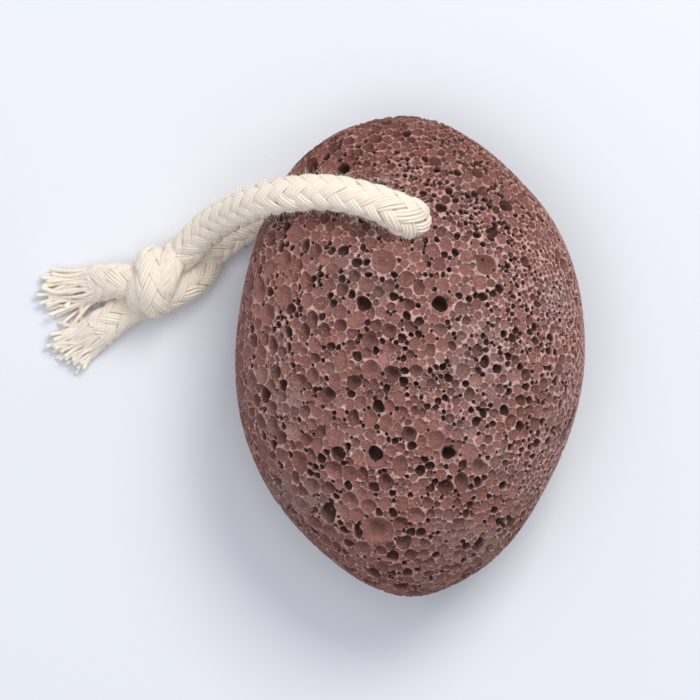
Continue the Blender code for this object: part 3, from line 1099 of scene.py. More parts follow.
    def dig(
        self, points: Array, bubbles: list[Bubble], rims: list[tuple[Array, Array]]
    ) -> tuple[Array, Array, Array, Array]:
        """Work out how deep each point lies in the bubbles.

        Args:
            points: places on the outer surface.
            bubbles: all bubbles.
            rims: each bubble's rim.

        Returns:
            Depth, distance inside the nearest rim (less than 0 between bubbles), tone and painted
            shade: darker the deeper the bubble is for its width, darkest in the holes.
        """
        order = np.argsort(points[:, 1])
        sorted_points, sorted_y = points[order], points[order, 1]
        halves = np.array([bubble.half for bubble in bubbles])
        inner = np.array([rim.mean() for _, rim in rims]) * halves
        towards = np.array(self.steep_side) / np.linalg.norm(self.steep_side)
        ups = np.array([towards - b.normal * (towards @ b.normal) for b in bubbles])
        centres = np.array([bubble.centre for bubble in bubbles])
        best = np.full(len(points), 2.2)
        owner = np.zeros(len(points), int)
        looked = []
        for i, bubble in enumerate(bubbles):
            reach = 2.2 * max(bubble.wide, bubble.long)
            ends = (bubble.centre[1] - reach, bubble.centre[1] + reach)
            low, high = np.searchsorted(sorted_y, ends)
            near = sorted_points[low:high]
            close = np.flatnonzero(
                (np.abs(near[:, 0] - bubble.centre[0]) < reach)
                & (np.abs(near[:, 2] - bubble.centre[2]) < reach)
            )
            share = bubble.share(near[close])
            ids = order[low:high][close]
            looked.append((ids, share))
            if bubble.kind is not Opening.HOLE:
                better = share < best[ids]
                best[ids[better]] = share[better]
                owner[ids[better]] = i
        edge = (1.0 - best) * halves[owner]
        for i, (ids, share) in enumerate(looked):
            others = (owner[ids] != i) & (best[ids] < 1.0)
            if bubbles[i].kind is Opening.HOLE or not others.any():
                continue
            ids, share = ids[others], share[others]
            between = (share - best[ids]) / (1 / halves[i] + 1 / halves[owner[ids]])
            edge[ids] = np.minimum(edge[ids], between)
        depths = np.array([bubble.depth for bubble in bubbles])
        powers = np.array([bubble.kind.value for bubble in bubbles])
        tones = np.array([bubble.tone for bubble in bubbles])
        level = np.clip(edge / inner[owner], 0.0, 1.0)
        # Painted shade: a bubble is darker the deeper it is for its width.
        painted_shade = np.where(edge > 0, 0.7 * (depths / halves)[owner] - 0.42, 0.0).clip(0.0, 1.0)
        side = ((points - centres[owner]) * ups[owner]).sum(axis=1) / halves[owner]
        slant = 1.0 + self.slant * np.clip(side, -1.0, 1.0)
        depth = depths[owner] * (1.0 - (1.0 - level) ** powers[owner]) * slant
        tone = np.where(edge > 0, tones[owner], 0.0)
        for i, (ids, share) in enumerate(looked):
            if bubbles[i].kind is not Opening.HOLE:
                continue
            ring = (1.0 - share) * halves[i]
            within = share < 1.0
            side = (points[ids[within]] - centres[i]) @ ups[i] / halves[i]
            profile = (1.0 - share[within] ** powers[i]) * (1.0 + self.slant * side)
            depth[ids[within]] += depths[i] * profile
            edge[ids[within]] = ring[within]
            tone[ids[within]] = tones[i]
            inner = share < self.hole_lip
            # Painted shade inside each hole, less in the larger holes.
            painted_shade[ids[within]] = 0.0
            painted_shade[ids[inner]] = np.interp(halves[i] / MM, self.hole_sizes, self.hole_shade)
            edge[ids[~within]] = np.minimum(np.abs(edge[ids[~within]]), -ring[~within])
        return depth, edge, tone, painted_shade

    def worn(self, points: Array) -> Array:
        """Press the points that the rope rubs back to its surface.

        Args:
            points: places on the stone.

        Returns:
            The same points, pressed clear of the rope.
        """
        hole = np.array((self.route.hole_x, self.route.hole_y))
        line = smooth_route(self.route.points, 0.3 * MM)
        line = line[np.hypot(*(line[:, :2] - hole).T) < self.rub_reach[0]]
        reach = self.route.radius + self.route.gap
        moved = points.copy()
        close = np.flatnonzero(np.hypot(*(points[:, :2] - hole).T) < self.rub_reach[1])
        away = points[close][:, None, :] - line[None]
        apart = np.linalg.norm(away, axis=2)
        best = apart.argmin(axis=1)
        gap = apart[np.arange(len(close)), best]
        pressed = gap < reach
        rows = np.flatnonzero(pressed)
        way = away[rows, best[rows]] / np.maximum(gap[rows], 1e-6)[:, None]
        moved[close[rows]] = line[best[rows]] + way * reach
        return moved

    def build(self, material: Any) -> bpy.types.Object:
        """Build the stone.

        Args:
            material: the rubbed pumice.

        Returns:
            The finished piece.
        """
        bubbles = self.bubbles.grow()
        log.info("stone: %d bubbles", len(bubbles))
        rims = self.rims(bubbles)
        y, turn, faces = self.net(*self.spread(bubbles, rims))
        base = self.form.surface(y, turn)
        normals = self.form.outward(y, turn)
        resting = base[:, 2] < 0.0
        base[resting, 2] = 0.0
        normals[resting] = (0.0, 0.0, -1.0)
        depth, edge, tone, painted_shade = self.dig(base, bubbles, rims)
        fine = np.array([rough(point / self.rough_scale) for point in base])
        points = base - normals * (depth + self.roughness * (fine + self.rough_rise))[:, None]
        points[:, 2] = np.maximum(points[:, 2], 0.0)
        points = self.worn(points)

        # The drilled wall: rings between the rims on the two faces.
        count = self.hole_points
        first = 2 * self.edge_points - 2
        top, bottom = points[first : first + count], points[first + count : first + 2 * count]
        levels = [level / self.hole_levels for level in range(1, self.hole_levels)]
        wall = [top * (1 - share) + bottom * share for share in levels]
        wall_points = self.worn(np.vstack(wall))
        rows = [np.arange(first, first + count)]
        for level in range(self.hole_levels - 1):
            rows.append(len(points) + level * count + np.arange(count))
        rows.append(np.arange(first + count, first + 2 * count))
        quads = []
        for upper, lower in zip(rows, rows[1:]):
            after_upper, after_lower = np.roll(upper, -1), np.roll(lower, -1)
            quads.append(np.stack([upper, after_upper, lower], axis=1))
            quads.append(np.stack([after_upper, after_lower, lower], axis=1))
        faces = np.vstack([faces] + quads)
        extra = len(wall_points)
        values = {
            "fine": np.concatenate([1.0 - self.bubbles.grain(base), np.full(extra, 0.5)]),
            "depth_mm": np.concatenate([depth / MM, np.full(extra, 2.0)]),
            "edge_mm": np.concatenate([edge / MM, np.full(extra, 0.5)]),
            "tone": np.concatenate([tone, np.zeros(extra)]),
            "painted_shade": np.concatenate([painted_shade, np.zeros(extra)]),
        }
        stone = mesh_piece(
            "stone_body",
            np.vstack([points, wall_points]),
            faces,
            material,
            values,
            sharp_angle=self.sharp_from,
        )
        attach(stone, BODY)
        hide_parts("pumice_stone")
        log.info("stone: %d triangles", len(faces))
        return stone


def kd_tree(points: Array) -> Any:
    """Make a balanced tree for looking up near points.

    Args:
        points: its points.

    Returns:
        The tree.
    """
    tree = KDTree(len(points))
    for i, point in enumerate(points):
        tree.insert(point, i)
    tree.balance()
    return tree


def rough(point: Array) -> float:
    """Return soft noise of two sizes at a point."""
    return noise.noise(Vector(point)) + 0.5 * noise.noise(Vector(point * 2.7))


# --- The rope ---


def unit(vectors: Array) -> Array:
    """Return the vectors scaled to length 1."""
    return vectors / np.maximum(np.linalg.norm(vectors, axis=-1, keepdims=True), 1e-12)


def tubes(lines: Array, radii: Array, sides: int) -> tuple[Array, Array]:
    """Wrap a round skin on each of many lines.

    Args:
        lines: line by line, its points.
        radii: radius at each point.
        sides: how many flats go round a tube.

    Returns:
        All points, line by line and ring by ring, and faces of four corners.
    """
    ahead = unit(np.gradient(lines, axis=1))
    start = ahead[:, 0]
    upright = np.abs(start[:, 2:]) >= 0.8
    across = unit(np.cross(start, np.where(upright, (1.0, 0, 0), (0, 0, 1.0))))
    sideways = np.empty_like(lines)
    for k in range(lines.shape[1]):
        across = unit(across - ahead[:, k] * (across * ahead[:, k]).sum(axis=1, keepdims=True))
        sideways[:, k] = across
    upward = np.cross(ahead, sideways)
    turn = 2 * math.pi * np.arange(sides) / sides
    ring = (
        sideways[:, :, None] * np.cos(turn)[:, None] + upward[:, :, None] * np.sin(turn)[:, None]
    )
    points = lines[:, :, None] + radii[:, :, None, None] * ring
    ids = np.arange(points.size // 3).reshape(points.shape[:3])
    after = np.roll(ids, -1, axis=2)
    faces = np.stack([ids[:, :-1], after[:, :-1], after[:, 1:], ids[:, 1:]], axis=-1)
    return points.reshape(-1, 3), faces.reshape(-1, 4)


@dataclass(frozen=True)
class Spine:
    """Middle line of a stretch of rope, with the ways and half sizes of its section."""

    points: Array
    sideways: Array
    upward: Array
    wide: Array
    high: Array

    @classmethod
    def through(
        cls, stations: Sequence, gap: float, away_from: tuple | None = None, flat: bool = False
    ) -> "Spine":
        """Lay a spine through stations.

        Args:
            stations: rows of x, y, z, half width and half height, in millimetres.
            gap: distance between its points, in metres.
            away_from: a point that the section's upper side faces away from, in millimetres.
            flat: whether the section lies level, as on a floor.

        Returns:
            The spine. Without either choice its section turns as little as it can.
        """
        rows = smooth_route(stations, gap)
        points = rows[:, :3]
        ahead = unit(np.gradient(points, axis=0))
        if away_from is not None:
            upward = points - np.array(away_from) * MM
        elif flat:
            upward = np.tile((0.0, 0.0, 1.0), (len(points), 1))
        else:
            upward = np.empty_like(points)
            current = np.array((0.0, 0.0, 1.0))
            for k, way in enumerate(ahead):
                current = current - way * (current @ way)
                current /= np.linalg.norm(current)
                upward[k] = current
        sideways = unit(np.cross(ahead, upward))
        return cls(points, sideways, np.cross(sideways, ahead), rows[:, 3], rows[:, 4])

    def along(self) -> Array:
        """Return the distance from the start at each point."""
        steps = np.linalg.norm(np.diff(self.points, axis=0), axis=1)
        return np.concatenate([[0.0], np.cumsum(steps)])

    def place(self, turn: Array, share: Array) -> Array:
        """Return places round the spine, turn by turn and at that share of the section."""
        across = (share * np.cos(turn) * self.wide)[..., None] * self.sideways
        return self.points + across + (share * np.sin(turn) * self.high)[..., None] * self.upward


@dataclass
class Yarns:
    """Many yarns of equally many points, with what their finish needs."""

    lines: Array
    radii: Array
    # Painted shade, from 0 on proud yarn to 1 deep in the grooves.
    groove_shade: Array
    tone: Array
    tip: Array
    outward: Array

    def values(self, sides: int) -> dict[str, Array]:
        """Return the finish's numbers for each point of the tubes."""
        named = {"groove_shade": self.groove_shade, "tone": self.tone, "tip": self.tip}
        return {key: np.repeat(data.ravel(), sides) for key, data in named.items()}


@dataclass(frozen=True)
class Braid:
    """Solid cotton cord of twelve strands, six each way, each of four soft yarns.

    A strand passes over two and under two, so that the cord shows a herringbone.
    """

    radius: float = 3.6 * MM
    each_way: int = 6
    yarns: int = 4
    lead: float = 22.0 * MM
    middle: float = 2.95 * MM
    swing: float = 0.40 * MM
    yarn_radius: float = 0.41 * MM
    tight_radius: float = 0.34 * MM
    yarn_gap: float = 0.55 * MM
    crown: float = 0.12 * MM
    core: float = 2.55 * MM
    wander: float = 0.06 * MM
    wander_length: float = 9 * MM
    squareness: float = 1.8  # how flat a strand lies between its dives
    core_sides: int = 12
    sides: int = 6
    step: float = 0.5 * MM

    def lay(self, spine: Spine, chance: np.random.Generator, loosen: float = 1.0) -> Yarns:
        """Lay the yarns of a stretch of rope.

        Args:
            spine: the rope's middle line.
            chance: source of the yarns' unevenness.
            loosen: how many times longer than usual the strands take for a turn.

        Returns:
            The yarns.
        """
        lead, swing = self.lead * loosen, self.swing / math.sqrt(loosen)
        u = spine.along()
        slope = math.sqrt(1 + (2 * math.pi * self.middle / lead) ** 2)
        lines, grooves = [], []
        half = (self.yarns - 1) / 2
        for way in (1.0, -1.0):
            for strand in range(self.each_way):
                strand_shift = chance.normal(0.0, 0.04)
                for yarn in range(self.yarns):
                    place = (yarn - half) / half
                    shift = place * half * self.yarn_gap * slope / self.middle
                    waves = u / self.wander_length * chance.uniform(0.6, 1.4)
                    wave = 2 * math.pi * (waves + chance.uniform())
                    stray = self.wander / self.middle * np.sin(wave) + strand_shift
                    turn = 2 * math.pi * (strand / self.each_way + way * u / lead) + shift + stray
                    ahead = u + way * shift * lead / (4 * math.pi)
                    crossing = way * ahead * (2 * self.each_way) / lead
                    lift = np.cos(0.5 * math.pi * (crossing + 2 * strand - 0.5))
                    lift = np.tanh(self.squareness * lift) / math.tanh(self.squareness)
                    reach = self.middle + way * swing * lift + self.crown * (1 - place**2)
                    reach = reach + 0.5 * self.wander * np.sin(1.7 * wave + 2.0)
                    lines.append(spine.place(turn, reach / self.radius))
                    # Painted shade: darker where a strand dives under the crossing strands, and at
                    # its edges, where it meets the next.
                    edge = 0.30 * place**2
                    grooves.append(np.clip(0.5 - 0.5 * way * lift + edge, 0.0, 1.0))
        lines, grooves = np.array(lines), np.array(grooves)
        size = self.yarn_radius * chance.uniform(0.88, 1.10, (len(lines), 1))
        wave = chance.uniform(0, 2 * math.pi, (len(lines), 1))
        radii = size * (1 + 0.07 * np.sin(u / (1.9 * MM) + wave)) * np.ones_like(grooves)
        tone = np.repeat(chance.normal(0, 1, (len(lines), 1)), len(u), axis=1)
        return Yarns(
            lines, radii, grooves, tone, np.zeros_like(grooves), unit(lines - spine.points)
        )

    def bundle(self, spine: Spine, chance: np.random.Generator, lead: float) -> Yarns:
        """Lay the yarns side by side, as where the rope is pulled tight in a knot.

        Args:
            spine: the rope's middle line.
            chance: source of the yarns' unevenness.
            lead: length that the yarns take for one turn.

        Returns:
            The yarns.
        """
        count = 2 * self.each_way * self.yarns
        u = spine.along()[None, :]
        rank = np.arange(count)[:, None]
        strand = rank // self.yarns
        phase = chance.uniform(0, 2 * math.pi, (4, count, 1))
        phase[0] = phase[0][(strand * self.yarns).ravel()]
        rise = 0.6 * np.sin(u / (3.1 * MM) + phase[0]) + 0.4 * np.sin(u / (1.6 * MM) + phase[1])
        drift = 0.5 * np.sin(u / (4.2 * MM) + phase[0]) + 0.35 * np.sin(u / (2.3 * MM) + phase[2])
        turn = 2 * math.pi * (rank + 0.9 * drift) / count + 2 * math.pi * u / lead
        seat = 1.0 - 0.5 * np.abs(rank % self.yarns - (self.yarns - 1) / 2)
        reach = self.middle + self.swing + 0.17 * MM * (rise + 0.7 * seat) - 0.12 * MM
        lines = np.array([spine.place(t, r / self.radius) for t, r in zip(turn, reach)])
        swell = 1 + 0.10 * np.sin(u / (2.0 * MM) + phase[3])
        radii = self.tight_radius * swell * np.ones_like(turn)
        # Painted shade: darker where a yarn lies lower in the bundle or at a strand's edge.
        groove_shade = np.clip(0.30 - 0.35 * (rise + 0.5 * seat), 0.0, 1.0)
        tone = np.repeat(chance.normal(0, 1, (count, 1)), lines.shape[1], axis=1)
        return Yarns(lines, radii, groove_shade, tone, np.zeros_like(groove_shade), unit(lines - spine.points))

    def core_tube(self, spine: Spine) -> tuple[Array, Array]:
        """Make the fill inside the yarns.

        Args:
            spine: the rope's middle line.

        Returns:
            Its points, and its faces of four corners.
        """
        turn = (2 * math.pi * np.arange(self.core_sides) / self.core_sides)[:, None]
        ring = spine.place(turn, self.core / self.radius).transpose(1, 0, 2)
        ids = np.arange(ring.size // 3).reshape(ring.shape[:2])
        after = np.roll(ids, -1, axis=1)
        faces = np.stack([ids[:-1], after[:-1], after[1:], ids[1:]], axis=-1)
        return ring.reshape(-1, 3), faces.reshape(-1, 4)


@dataclass
class RopePiece:
    """One object made of a few stretches of yarns."""

    name: str
    braid: Braid
    material: Any
    parts: list = field(default_factory=list)
    cores: list = field(default_factory=list)

    def add(self, yarns: Yarns, spine: Spine | None = None) -> None:
        """Add a stretch of yarns.

        Args:
            yarns: the yarns.
            spine: their middle line where they have a fill, or None.
        """
        self.parts.append(yarns)
        if spine is not None:
            self.cores.append(self.braid.core_tube(spine))

    def build(self, *nodes: str) -> bpy.types.Object:
        """Build the object.

        Args:
            nodes: the frame's nodes that it stands for.

        Returns:
            The finished piece.
        """
        points, faces, columns, count = [], [], {"groove_shade": [], "tone": [], "tip": []}, 0
        for part in self.parts:
            skin, quads = tubes(part.lines, part.radii, self.braid.sides)
            points.append(skin)
            faces.append(quads + count)
            count += len(skin)
            for key, data in part.values(self.braid.sides).items():
                columns[key].append(data)
        for skin, quads in self.cores:
            points.append(skin)
            faces.append(quads + count)
            count += len(skin)
            # The fill takes the full painted shade, as it shows only deep between the yarns.
            for key, level in (("groove_shade", 1.0), ("tone", 0.0), ("tip", 0.0)):
                columns[key].append(np.full(len(skin), level))
        points = np.vstack(points)
        points[:, 2] = np.maximum(points[:, 2], 0.02 * MM)
        values = {key: np.concatenate(data) for key, data in columns.items()}
        piece = mesh_piece(self.name, points, np.vstack(faces), self.material, values)
        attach(piece, BODY)
        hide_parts(*nodes)
        log.info("%s: %d faces", self.name, sum(len(quads) for quads in faces))
        return piece


@dataclass(frozen=True)
class FrayedTail:
    """An end of the rope past the knot: a short braid that opens into loose yarns.

    Stations and tips are in millimetres: the tips lie in a fan from the first to the last.
    """

    name: str
    node: str
    stations: tuple
    tip_start: tuple
    tip_end: tuple
    tip_bulge: tuple
    seed: int
    droop: tuple = ()
    tip_spread: float = 1.3 * MM
    loose_points: int = 26
    loose_radius: float = 0.45 * MM
    sway: float = 0.45 * MM
    cut_from: float = 0.72  # share of a loose yarn past which it is bleached and cut

    def loosen(self, braided: Yarns, spine: Spine, chance: np.random.Generator) -> Yarns:
        """Carry every yarn on from the braid to its own tip on the floor.

        Args:
            braided: the yarns of the braid.
            spine: the braid's middle line.
            chance: source of the yarns' unevenness.

        Returns:
            The loose yarns, which start just inside the braid.
        """
        start = braided.lines[:, -4]
        ahead = unit(braided.lines[:, -1] - braided.lines[:, -4])
        straight = unit(spine.points[-1] - spine.points[-6])
        beside = (start - spine.points[-4]) @ spine.sideways[-1]
        order = np.argsort(np.argsort(-beside + chance.normal(0, 0.9 * MM, len(start))))
        share = (order + 0.5) / len(start)
        a, b, bulge = (np.array(p) * MM for p in (self.tip_start, self.tip_end, self.tip_bulge))
        tips = a + (b - a) * share[:, None] + bulge * (4 * share * (1 - share))[:, None]
        tips = tips + straight * chance.normal(-0.3, 1.0, (len(start), 1)) * self.tip_spread
        layer = chance.uniform(0.0, 1.0, len(start))
        tips[:, 2] = (0.48 + 2.1 * layer**1.4) * MM
        for k, place in enumerate(self.droop):
            tips[len(start) // 2 + 3 * k] = np.array(place) * MM
        far = np.linalg.norm(tips - start, axis=1, keepdims=True)
        hub = spine.points[-1] + straight * 1.5 * MM
        leave = unit(unit(tips - hub) + 0.35 * straight)
        t = np.linspace(0.0, 1.0, self.loose_points)[None, :, None]
        first = (ahead + straight)[:, None] * 0.5 * far[:, None]
        last = leave[:, None] * 0.9 * far[:, None]
        lines = (
            (2 * t**3 - 3 * t**2 + 1) * start[:, None]
            + (t**3 - 2 * t**2 + t) * first
            + (3 * t**2 - 2 * t**3) * tips[:, None]
            + (t**3 - t**2) * last
        )
        wave = 2 * math.pi * (t * chance.uniform(0.5, 1.5, (len(start), 1, 1)))
        sway = np.sin(wave + chance.uniform(0, 6.28, (len(start), 1, 1))) * t
        lines = lines + chance.normal(0, self.sway, (len(start), 1, 3)) * sway
        size = self.loose_size(chance, len(start))
        lines[..., 2] = np.maximum(lines[..., 2], size[..., 0] * 0.9)
        radii = size[..., 0] * np.ones(lines.shape[:2])
        radii[:, -3] *= 1.10
        radii[:, -2] *= 0.95
        radii[:, -1] = 0.02 * MM
        lines[:, -1] = lines[:, -2] + 0.12 * (lines[:, -1] - lines[:, -2])
        past = (t[..., 0] - self.cut_from) / (1.0 - self.cut_from)
        tip = np.clip(past, 0.0, 1.0) * np.ones(lines.shape[:2])
        # Painted shade: loose yarns darker the nearer they lie to the floor, none where they are
        # cut.
        groove_shade = np.clip(0.42 - 0.30 * (lines[..., 2] - 1.5 * MM) / MM, 0.05, 0.8) * (1 - tip)
        tone = np.repeat(chance.normal(0, 1, (len(start), 1)), self.loose_points, axis=1)
        around = unit(chance.normal(0, 1, lines.shape) + (0, 0, 0.6))
        return Yarns(lines, radii, groove_shade, tone, tip, around)

    def loose_size(self, chance: np.random.Generator, count: int) -> Array:
        """Return the radius of each loose yarn."""
        return self.loose_radius * chance.uniform(0.88, 1.10, (count, 1, 1))

    def build(self, braid: Braid, material: Any) -> tuple[bpy.types.Object, list[Yarns]]:
        """Build the tail.

        Args:
            braid: how the rope is laid.
            material: the cotton.

        Returns:
            The piece and its yarns.
        """
        chance = np.random.default_rng(self.seed)
        spine = Spine.through(self.stations, braid.step, flat=True)
        braided = braid.lay(spine, chance)
        loose = self.loosen(braided, spine, chance)
        piece = RopePiece(self.name, braid, material)
        piece.add(braided, spine)
        piece.add(loose)
        return piece.build(self.node), [braided, loose]


@dataclass(frozen=True)
class OverhandKnot:
    """Both ends of the loop tied together in one overhand knot."""

    centre: tuple = (-52.6, 15.8, 7.4)
    stretch: float = 1.2
    end_lead: float = 50.0 * MM
    outer_turn: tuple = (
        (-52.4, 12.2, 2.6, 2.6, 2.2), (-53.0, 17.4, 3.0, 3.1, 2.6),
        (-53.6, 20.2, 6.0, 3.3, 2.8), (-53.9, 20.0, 9.6, 3.4, 2.8),
        (-53.9, 17.6, 12.0, 3.4, 2.8), (-53.8, 14.2, 12.1, 3.5, 2.9),
        (-53.4, 11.6, 9.8, 3.5, 2.9), (-53.0, 11.2, 6.4, 3.4, 2.9),
        (-52.8, 13.2, 3.4, 3.2, 2.8), (-52.4, 16.6, 3.2, 2.8, 2.4),
        (-51.6, 18.6, 4.4, 2.4, 2.0),
    )
    second_turn: tuple = (
        (-49.8, 18.4, 2.9, 2.3, 1.9), (-48.9, 21.6, 3.6, 2.5, 1.9),
        (-48.5, 22.9, 6.8, 2.6, 1.9), (-48.9, 21.7, 10.4, 2.6, 1.9),
        (-50.0, 18.8, 12.6, 2.6, 1.9), (-51.0, 15.6, 12.7, 2.5, 1.9),
        (-51.8, 12.8, 11.0, 2.2, 1.8),
    )
    end_turn: tuple = (
        (-56.0, 16.6, 3.2, 1.5, 1.5), (-56.8, 17.6, 6.0, 1.8, 1.6),
        (-57.3, 16.6, 9.0, 1.9, 1.7), (-57.5, 14.0, 10.2, 2.0, 1.7),
        (-57.3, 11.6, 8.8, 1.9, 1.7), (-56.8, 10.6, 5.8, 1.8, 1.6),
        (-56.2, 11.2, 3.2, 1.5, 1.5),
    )
    lobe: tuple = (
        (-43.0, 21.0, 4.4, 2.6, 2.6), (-43.2, 18.6, 5.0, 3.5, 3.4),
        (-45.0, 16.6, 6.2, 3.9, 3.7), (-47.6, 15.0, 7.4, 3.9, 3.7),
        (-50.4, 13.4, 7.4, 3.6, 3.3), (-53.0, 12.0, 6.4, 3.0, 2.8),
    )

    def build(self, braid: Braid, material: Any) -> tuple[bpy.types.Object, list[Yarns]]:
        """Build the knot.

        Args:
            braid: how the rope is laid.
            material: the cotton.

        Returns:
            The piece and its yarns.
        """
        chance = np.random.default_rng(21)
        piece = RopePiece("knot", braid, material)
        every = []
        for stations in (self.outer_turn, self.second_turn, self.lobe):
            spine = Spine.through(stations, braid.step, away_from=self.centre)
            every.append(braid.lay(spine, chance, self.stretch))
            piece.add(every[-1], spine)
        spine = Spine.through(self.end_turn, braid.step, away_from=self.centre)
        every.append(braid.bundle(spine, chance, self.end_lead))
        piece.add(every[-1], spine)
        return piece.build("rope_knot"), every


@dataclass(frozen=True)
class Fuzz:
    """Cotton fibres that stand off the yarns."""

    most: int = 15600
    length: float = 0.75 * MM
    longest: float = 2.6 * MM
    radius: float = 0.024 * MM
    bends: int = 3

    def build(self, every: list[Yarns], material: Any) -> bpy.types.Object:
        """Build the fibres on all yarns.

        Args:
            every: the rope's yarns.
            material: the fibres' finish.

        Returns:
            One object that holds all fibres.
        """
        chance = np.random.default_rng(77)
        places, ways, aheads = [], [], []
        for yarns in every:
            ahead = unit(np.gradient(yarns.lines, axis=1))
            proud = yarns.groove_shade < 0.55
            proud[:, :2] = proud[:, -2:] = False
            places.append((yarns.lines + yarns.outward * yarns.radii[..., None])[proud])
            ways.append(yarns.outward[proud])
            aheads.append(ahead[proud])
        places, ways, aheads = (np.vstack(parts) for parts in (places, ways, aheads))
        picks = chance.choice(len(places), min(self.most, len(places)), replace=False)
        start, way, ahead = places[picks], ways[picks], aheads[picks]
        count = len(picks)
        length = np.minimum(self.length * (0.25 + chance.exponential(1.0, count)), self.longest)
        lean = unit(way + 0.9 * chance.normal(0, 0.6, (count, 3)) + 0.8 * ahead)
        curl = np.cross(lean, unit(chance.normal(0, 1, (count, 3))))
        t = np.linspace(0.0, 1.0, self.bends)[None, :, None]
        bend = chance.normal(0, 0.8, (count, 1, 1))
        lines = start[:, None] + length[:, None, None] * (
            lean[:, None] * t + curl[:, None] * bend * t**2
        )
        lines[..., 2] = np.maximum(lines[..., 2], 0.03 * MM)
        radii = self.radius * (1.15 - 0.75 * t[..., 0]) * np.ones((count, 1))
        points, faces = tubes(lines, radii, 3)
        piece = mesh_piece("rope_fuzz", points, faces, material)
        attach(piece, BODY)
        log.info("rope fuzz: %d fibres", count)
        return piece


@dataclass(frozen=True)
class RopeLoop:
    """The loop from the knot through the stone's hole and back, with knot, tails and fuzz."""

    route: RopeRoute
    braid: Braid = Braid()
    split_at: int = 12
    knot_taper: tuple = (0.80, 0.92, 1.0)
    mouth_swell: float = 0.75
    mouth_reach: float = 8.0

    def leg(
        self, name: str, points: Sequence, chance: np.random.Generator, material: Any
    ) -> tuple[Any, Yarns, Array]:
        """Build one leg.

        Args:
            name: object name.
            points: its route from the knot into the hole.
            chance: source of the yarns' unevenness.
            material: the cotton.

        Returns:
            The object, its yarns and its middle line from the hole to the knot.
        """
        full = self.braid.radius / MM
        stations = []
        for k, point in enumerate(points):
            near = math.dist(point, self.route.front_mouth)
            size = full + self.mouth_swell * max(0.0, 1 - near / self.mouth_reach)
            if k < len(self.knot_taper):
                size = full * self.knot_taper[k]
            stations.append((*point, size, size))
        spine = Spine.through(stations, self.braid.step)
        yarns = self.braid.lay(spine, chance)
        piece = RopePiece(name, self.braid, material)
        piece.add(yarns, spine)
        return piece.build("rope_loop"), yarns, spine.points[::-1]

    def build(self, material: Any, fibre: Any) -> None:
        """Build the whole rope.

        Args:
            material: the cotton.
            fibre: the finish of single fibres.
        """
        chance = np.random.default_rng(8)
        points = self.route.points
        front = self.leg("rope_front_leg", points[: self.split_at + 1], chance, material)
        back = self.leg("rope_back_leg", points[: self.split_at - 1 : -1], chance, material)
        knot, knot_yarns = OverhandKnot().build(self.braid, material)
        upper, upper_yarns = FrayedTail(
            "tail_upper",
            "rope_tail_upper",
            stations=(
                (-54.6, 15.4, 8.2, 2.6, 2.6), (-57.6, 15.6, 8.0, 3.2, 3.1),
                (-60.6, 15.9, 6.8, 3.5, 3.3), (-63.0, 15.8, 5.2, 3.6, 3.2),
                (-65.0, 15.5, 4.1, 3.8, 2.9), (-66.6, 15.1, 3.4, 4.0, 2.6),
            ),
            tip_start=(-75.9, 18.9, 0.6),
            tip_end=(-74.2, 8.4, 0.6),
            tip_bulge=(-2.0, 0.0, 0.0),
            seed=31,
            droop=((-70.6, 5.4, 0.5), (-71.8, 6.2, 0.6), (-73.0, 7.0, 0.6)),
        ).build(self.braid, material)
        lower, lower_yarns = FrayedTail(
            "tail_lower",
            "rope_tail_lower",
            stations=(
                (-54.4, 13.2, 4.4, 2.6, 2.6), (-56.8, 11.2, 4.0, 3.1, 3.1),
                (-59.6, 9.6, 3.7, 3.3, 3.3), (-62.8, 7.6, 3.4, 3.4, 3.1),
                (-65.8, 5.3, 3.0, 3.9, 2.8),
            ),
            tip_start=(-75.8, 5.2, 0.6),
            tip_end=(-67.9, -2.2, 0.6),
            tip_bulge=(-1.4, -1.2, 0.0),
            seed=32,
        ).build(self.braid, material)
        every = [front[1], back[1], *knot_yarns, *upper_yarns, *lower_yarns]
        fuzz = Fuzz().build(every, fibre)
        mouths = (self.route.front_mouth, self.route.back_mouth)
        pieces = ([knot, upper, lower, fuzz], [])
        for (leg, _, line), mouth, on_it in zip((front, back), mouths, pieces):
            steps = np.linalg.norm(np.diff(line, axis=0), axis=1)
            tuple(c * MM for c in mouth)
            [tuple(float(c) for c in point) for point in line[::4]]
            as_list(on_it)
            log.info("%s: %.0f mm long", leg.name, steps.sum() / MM)


# --- Finishes ---


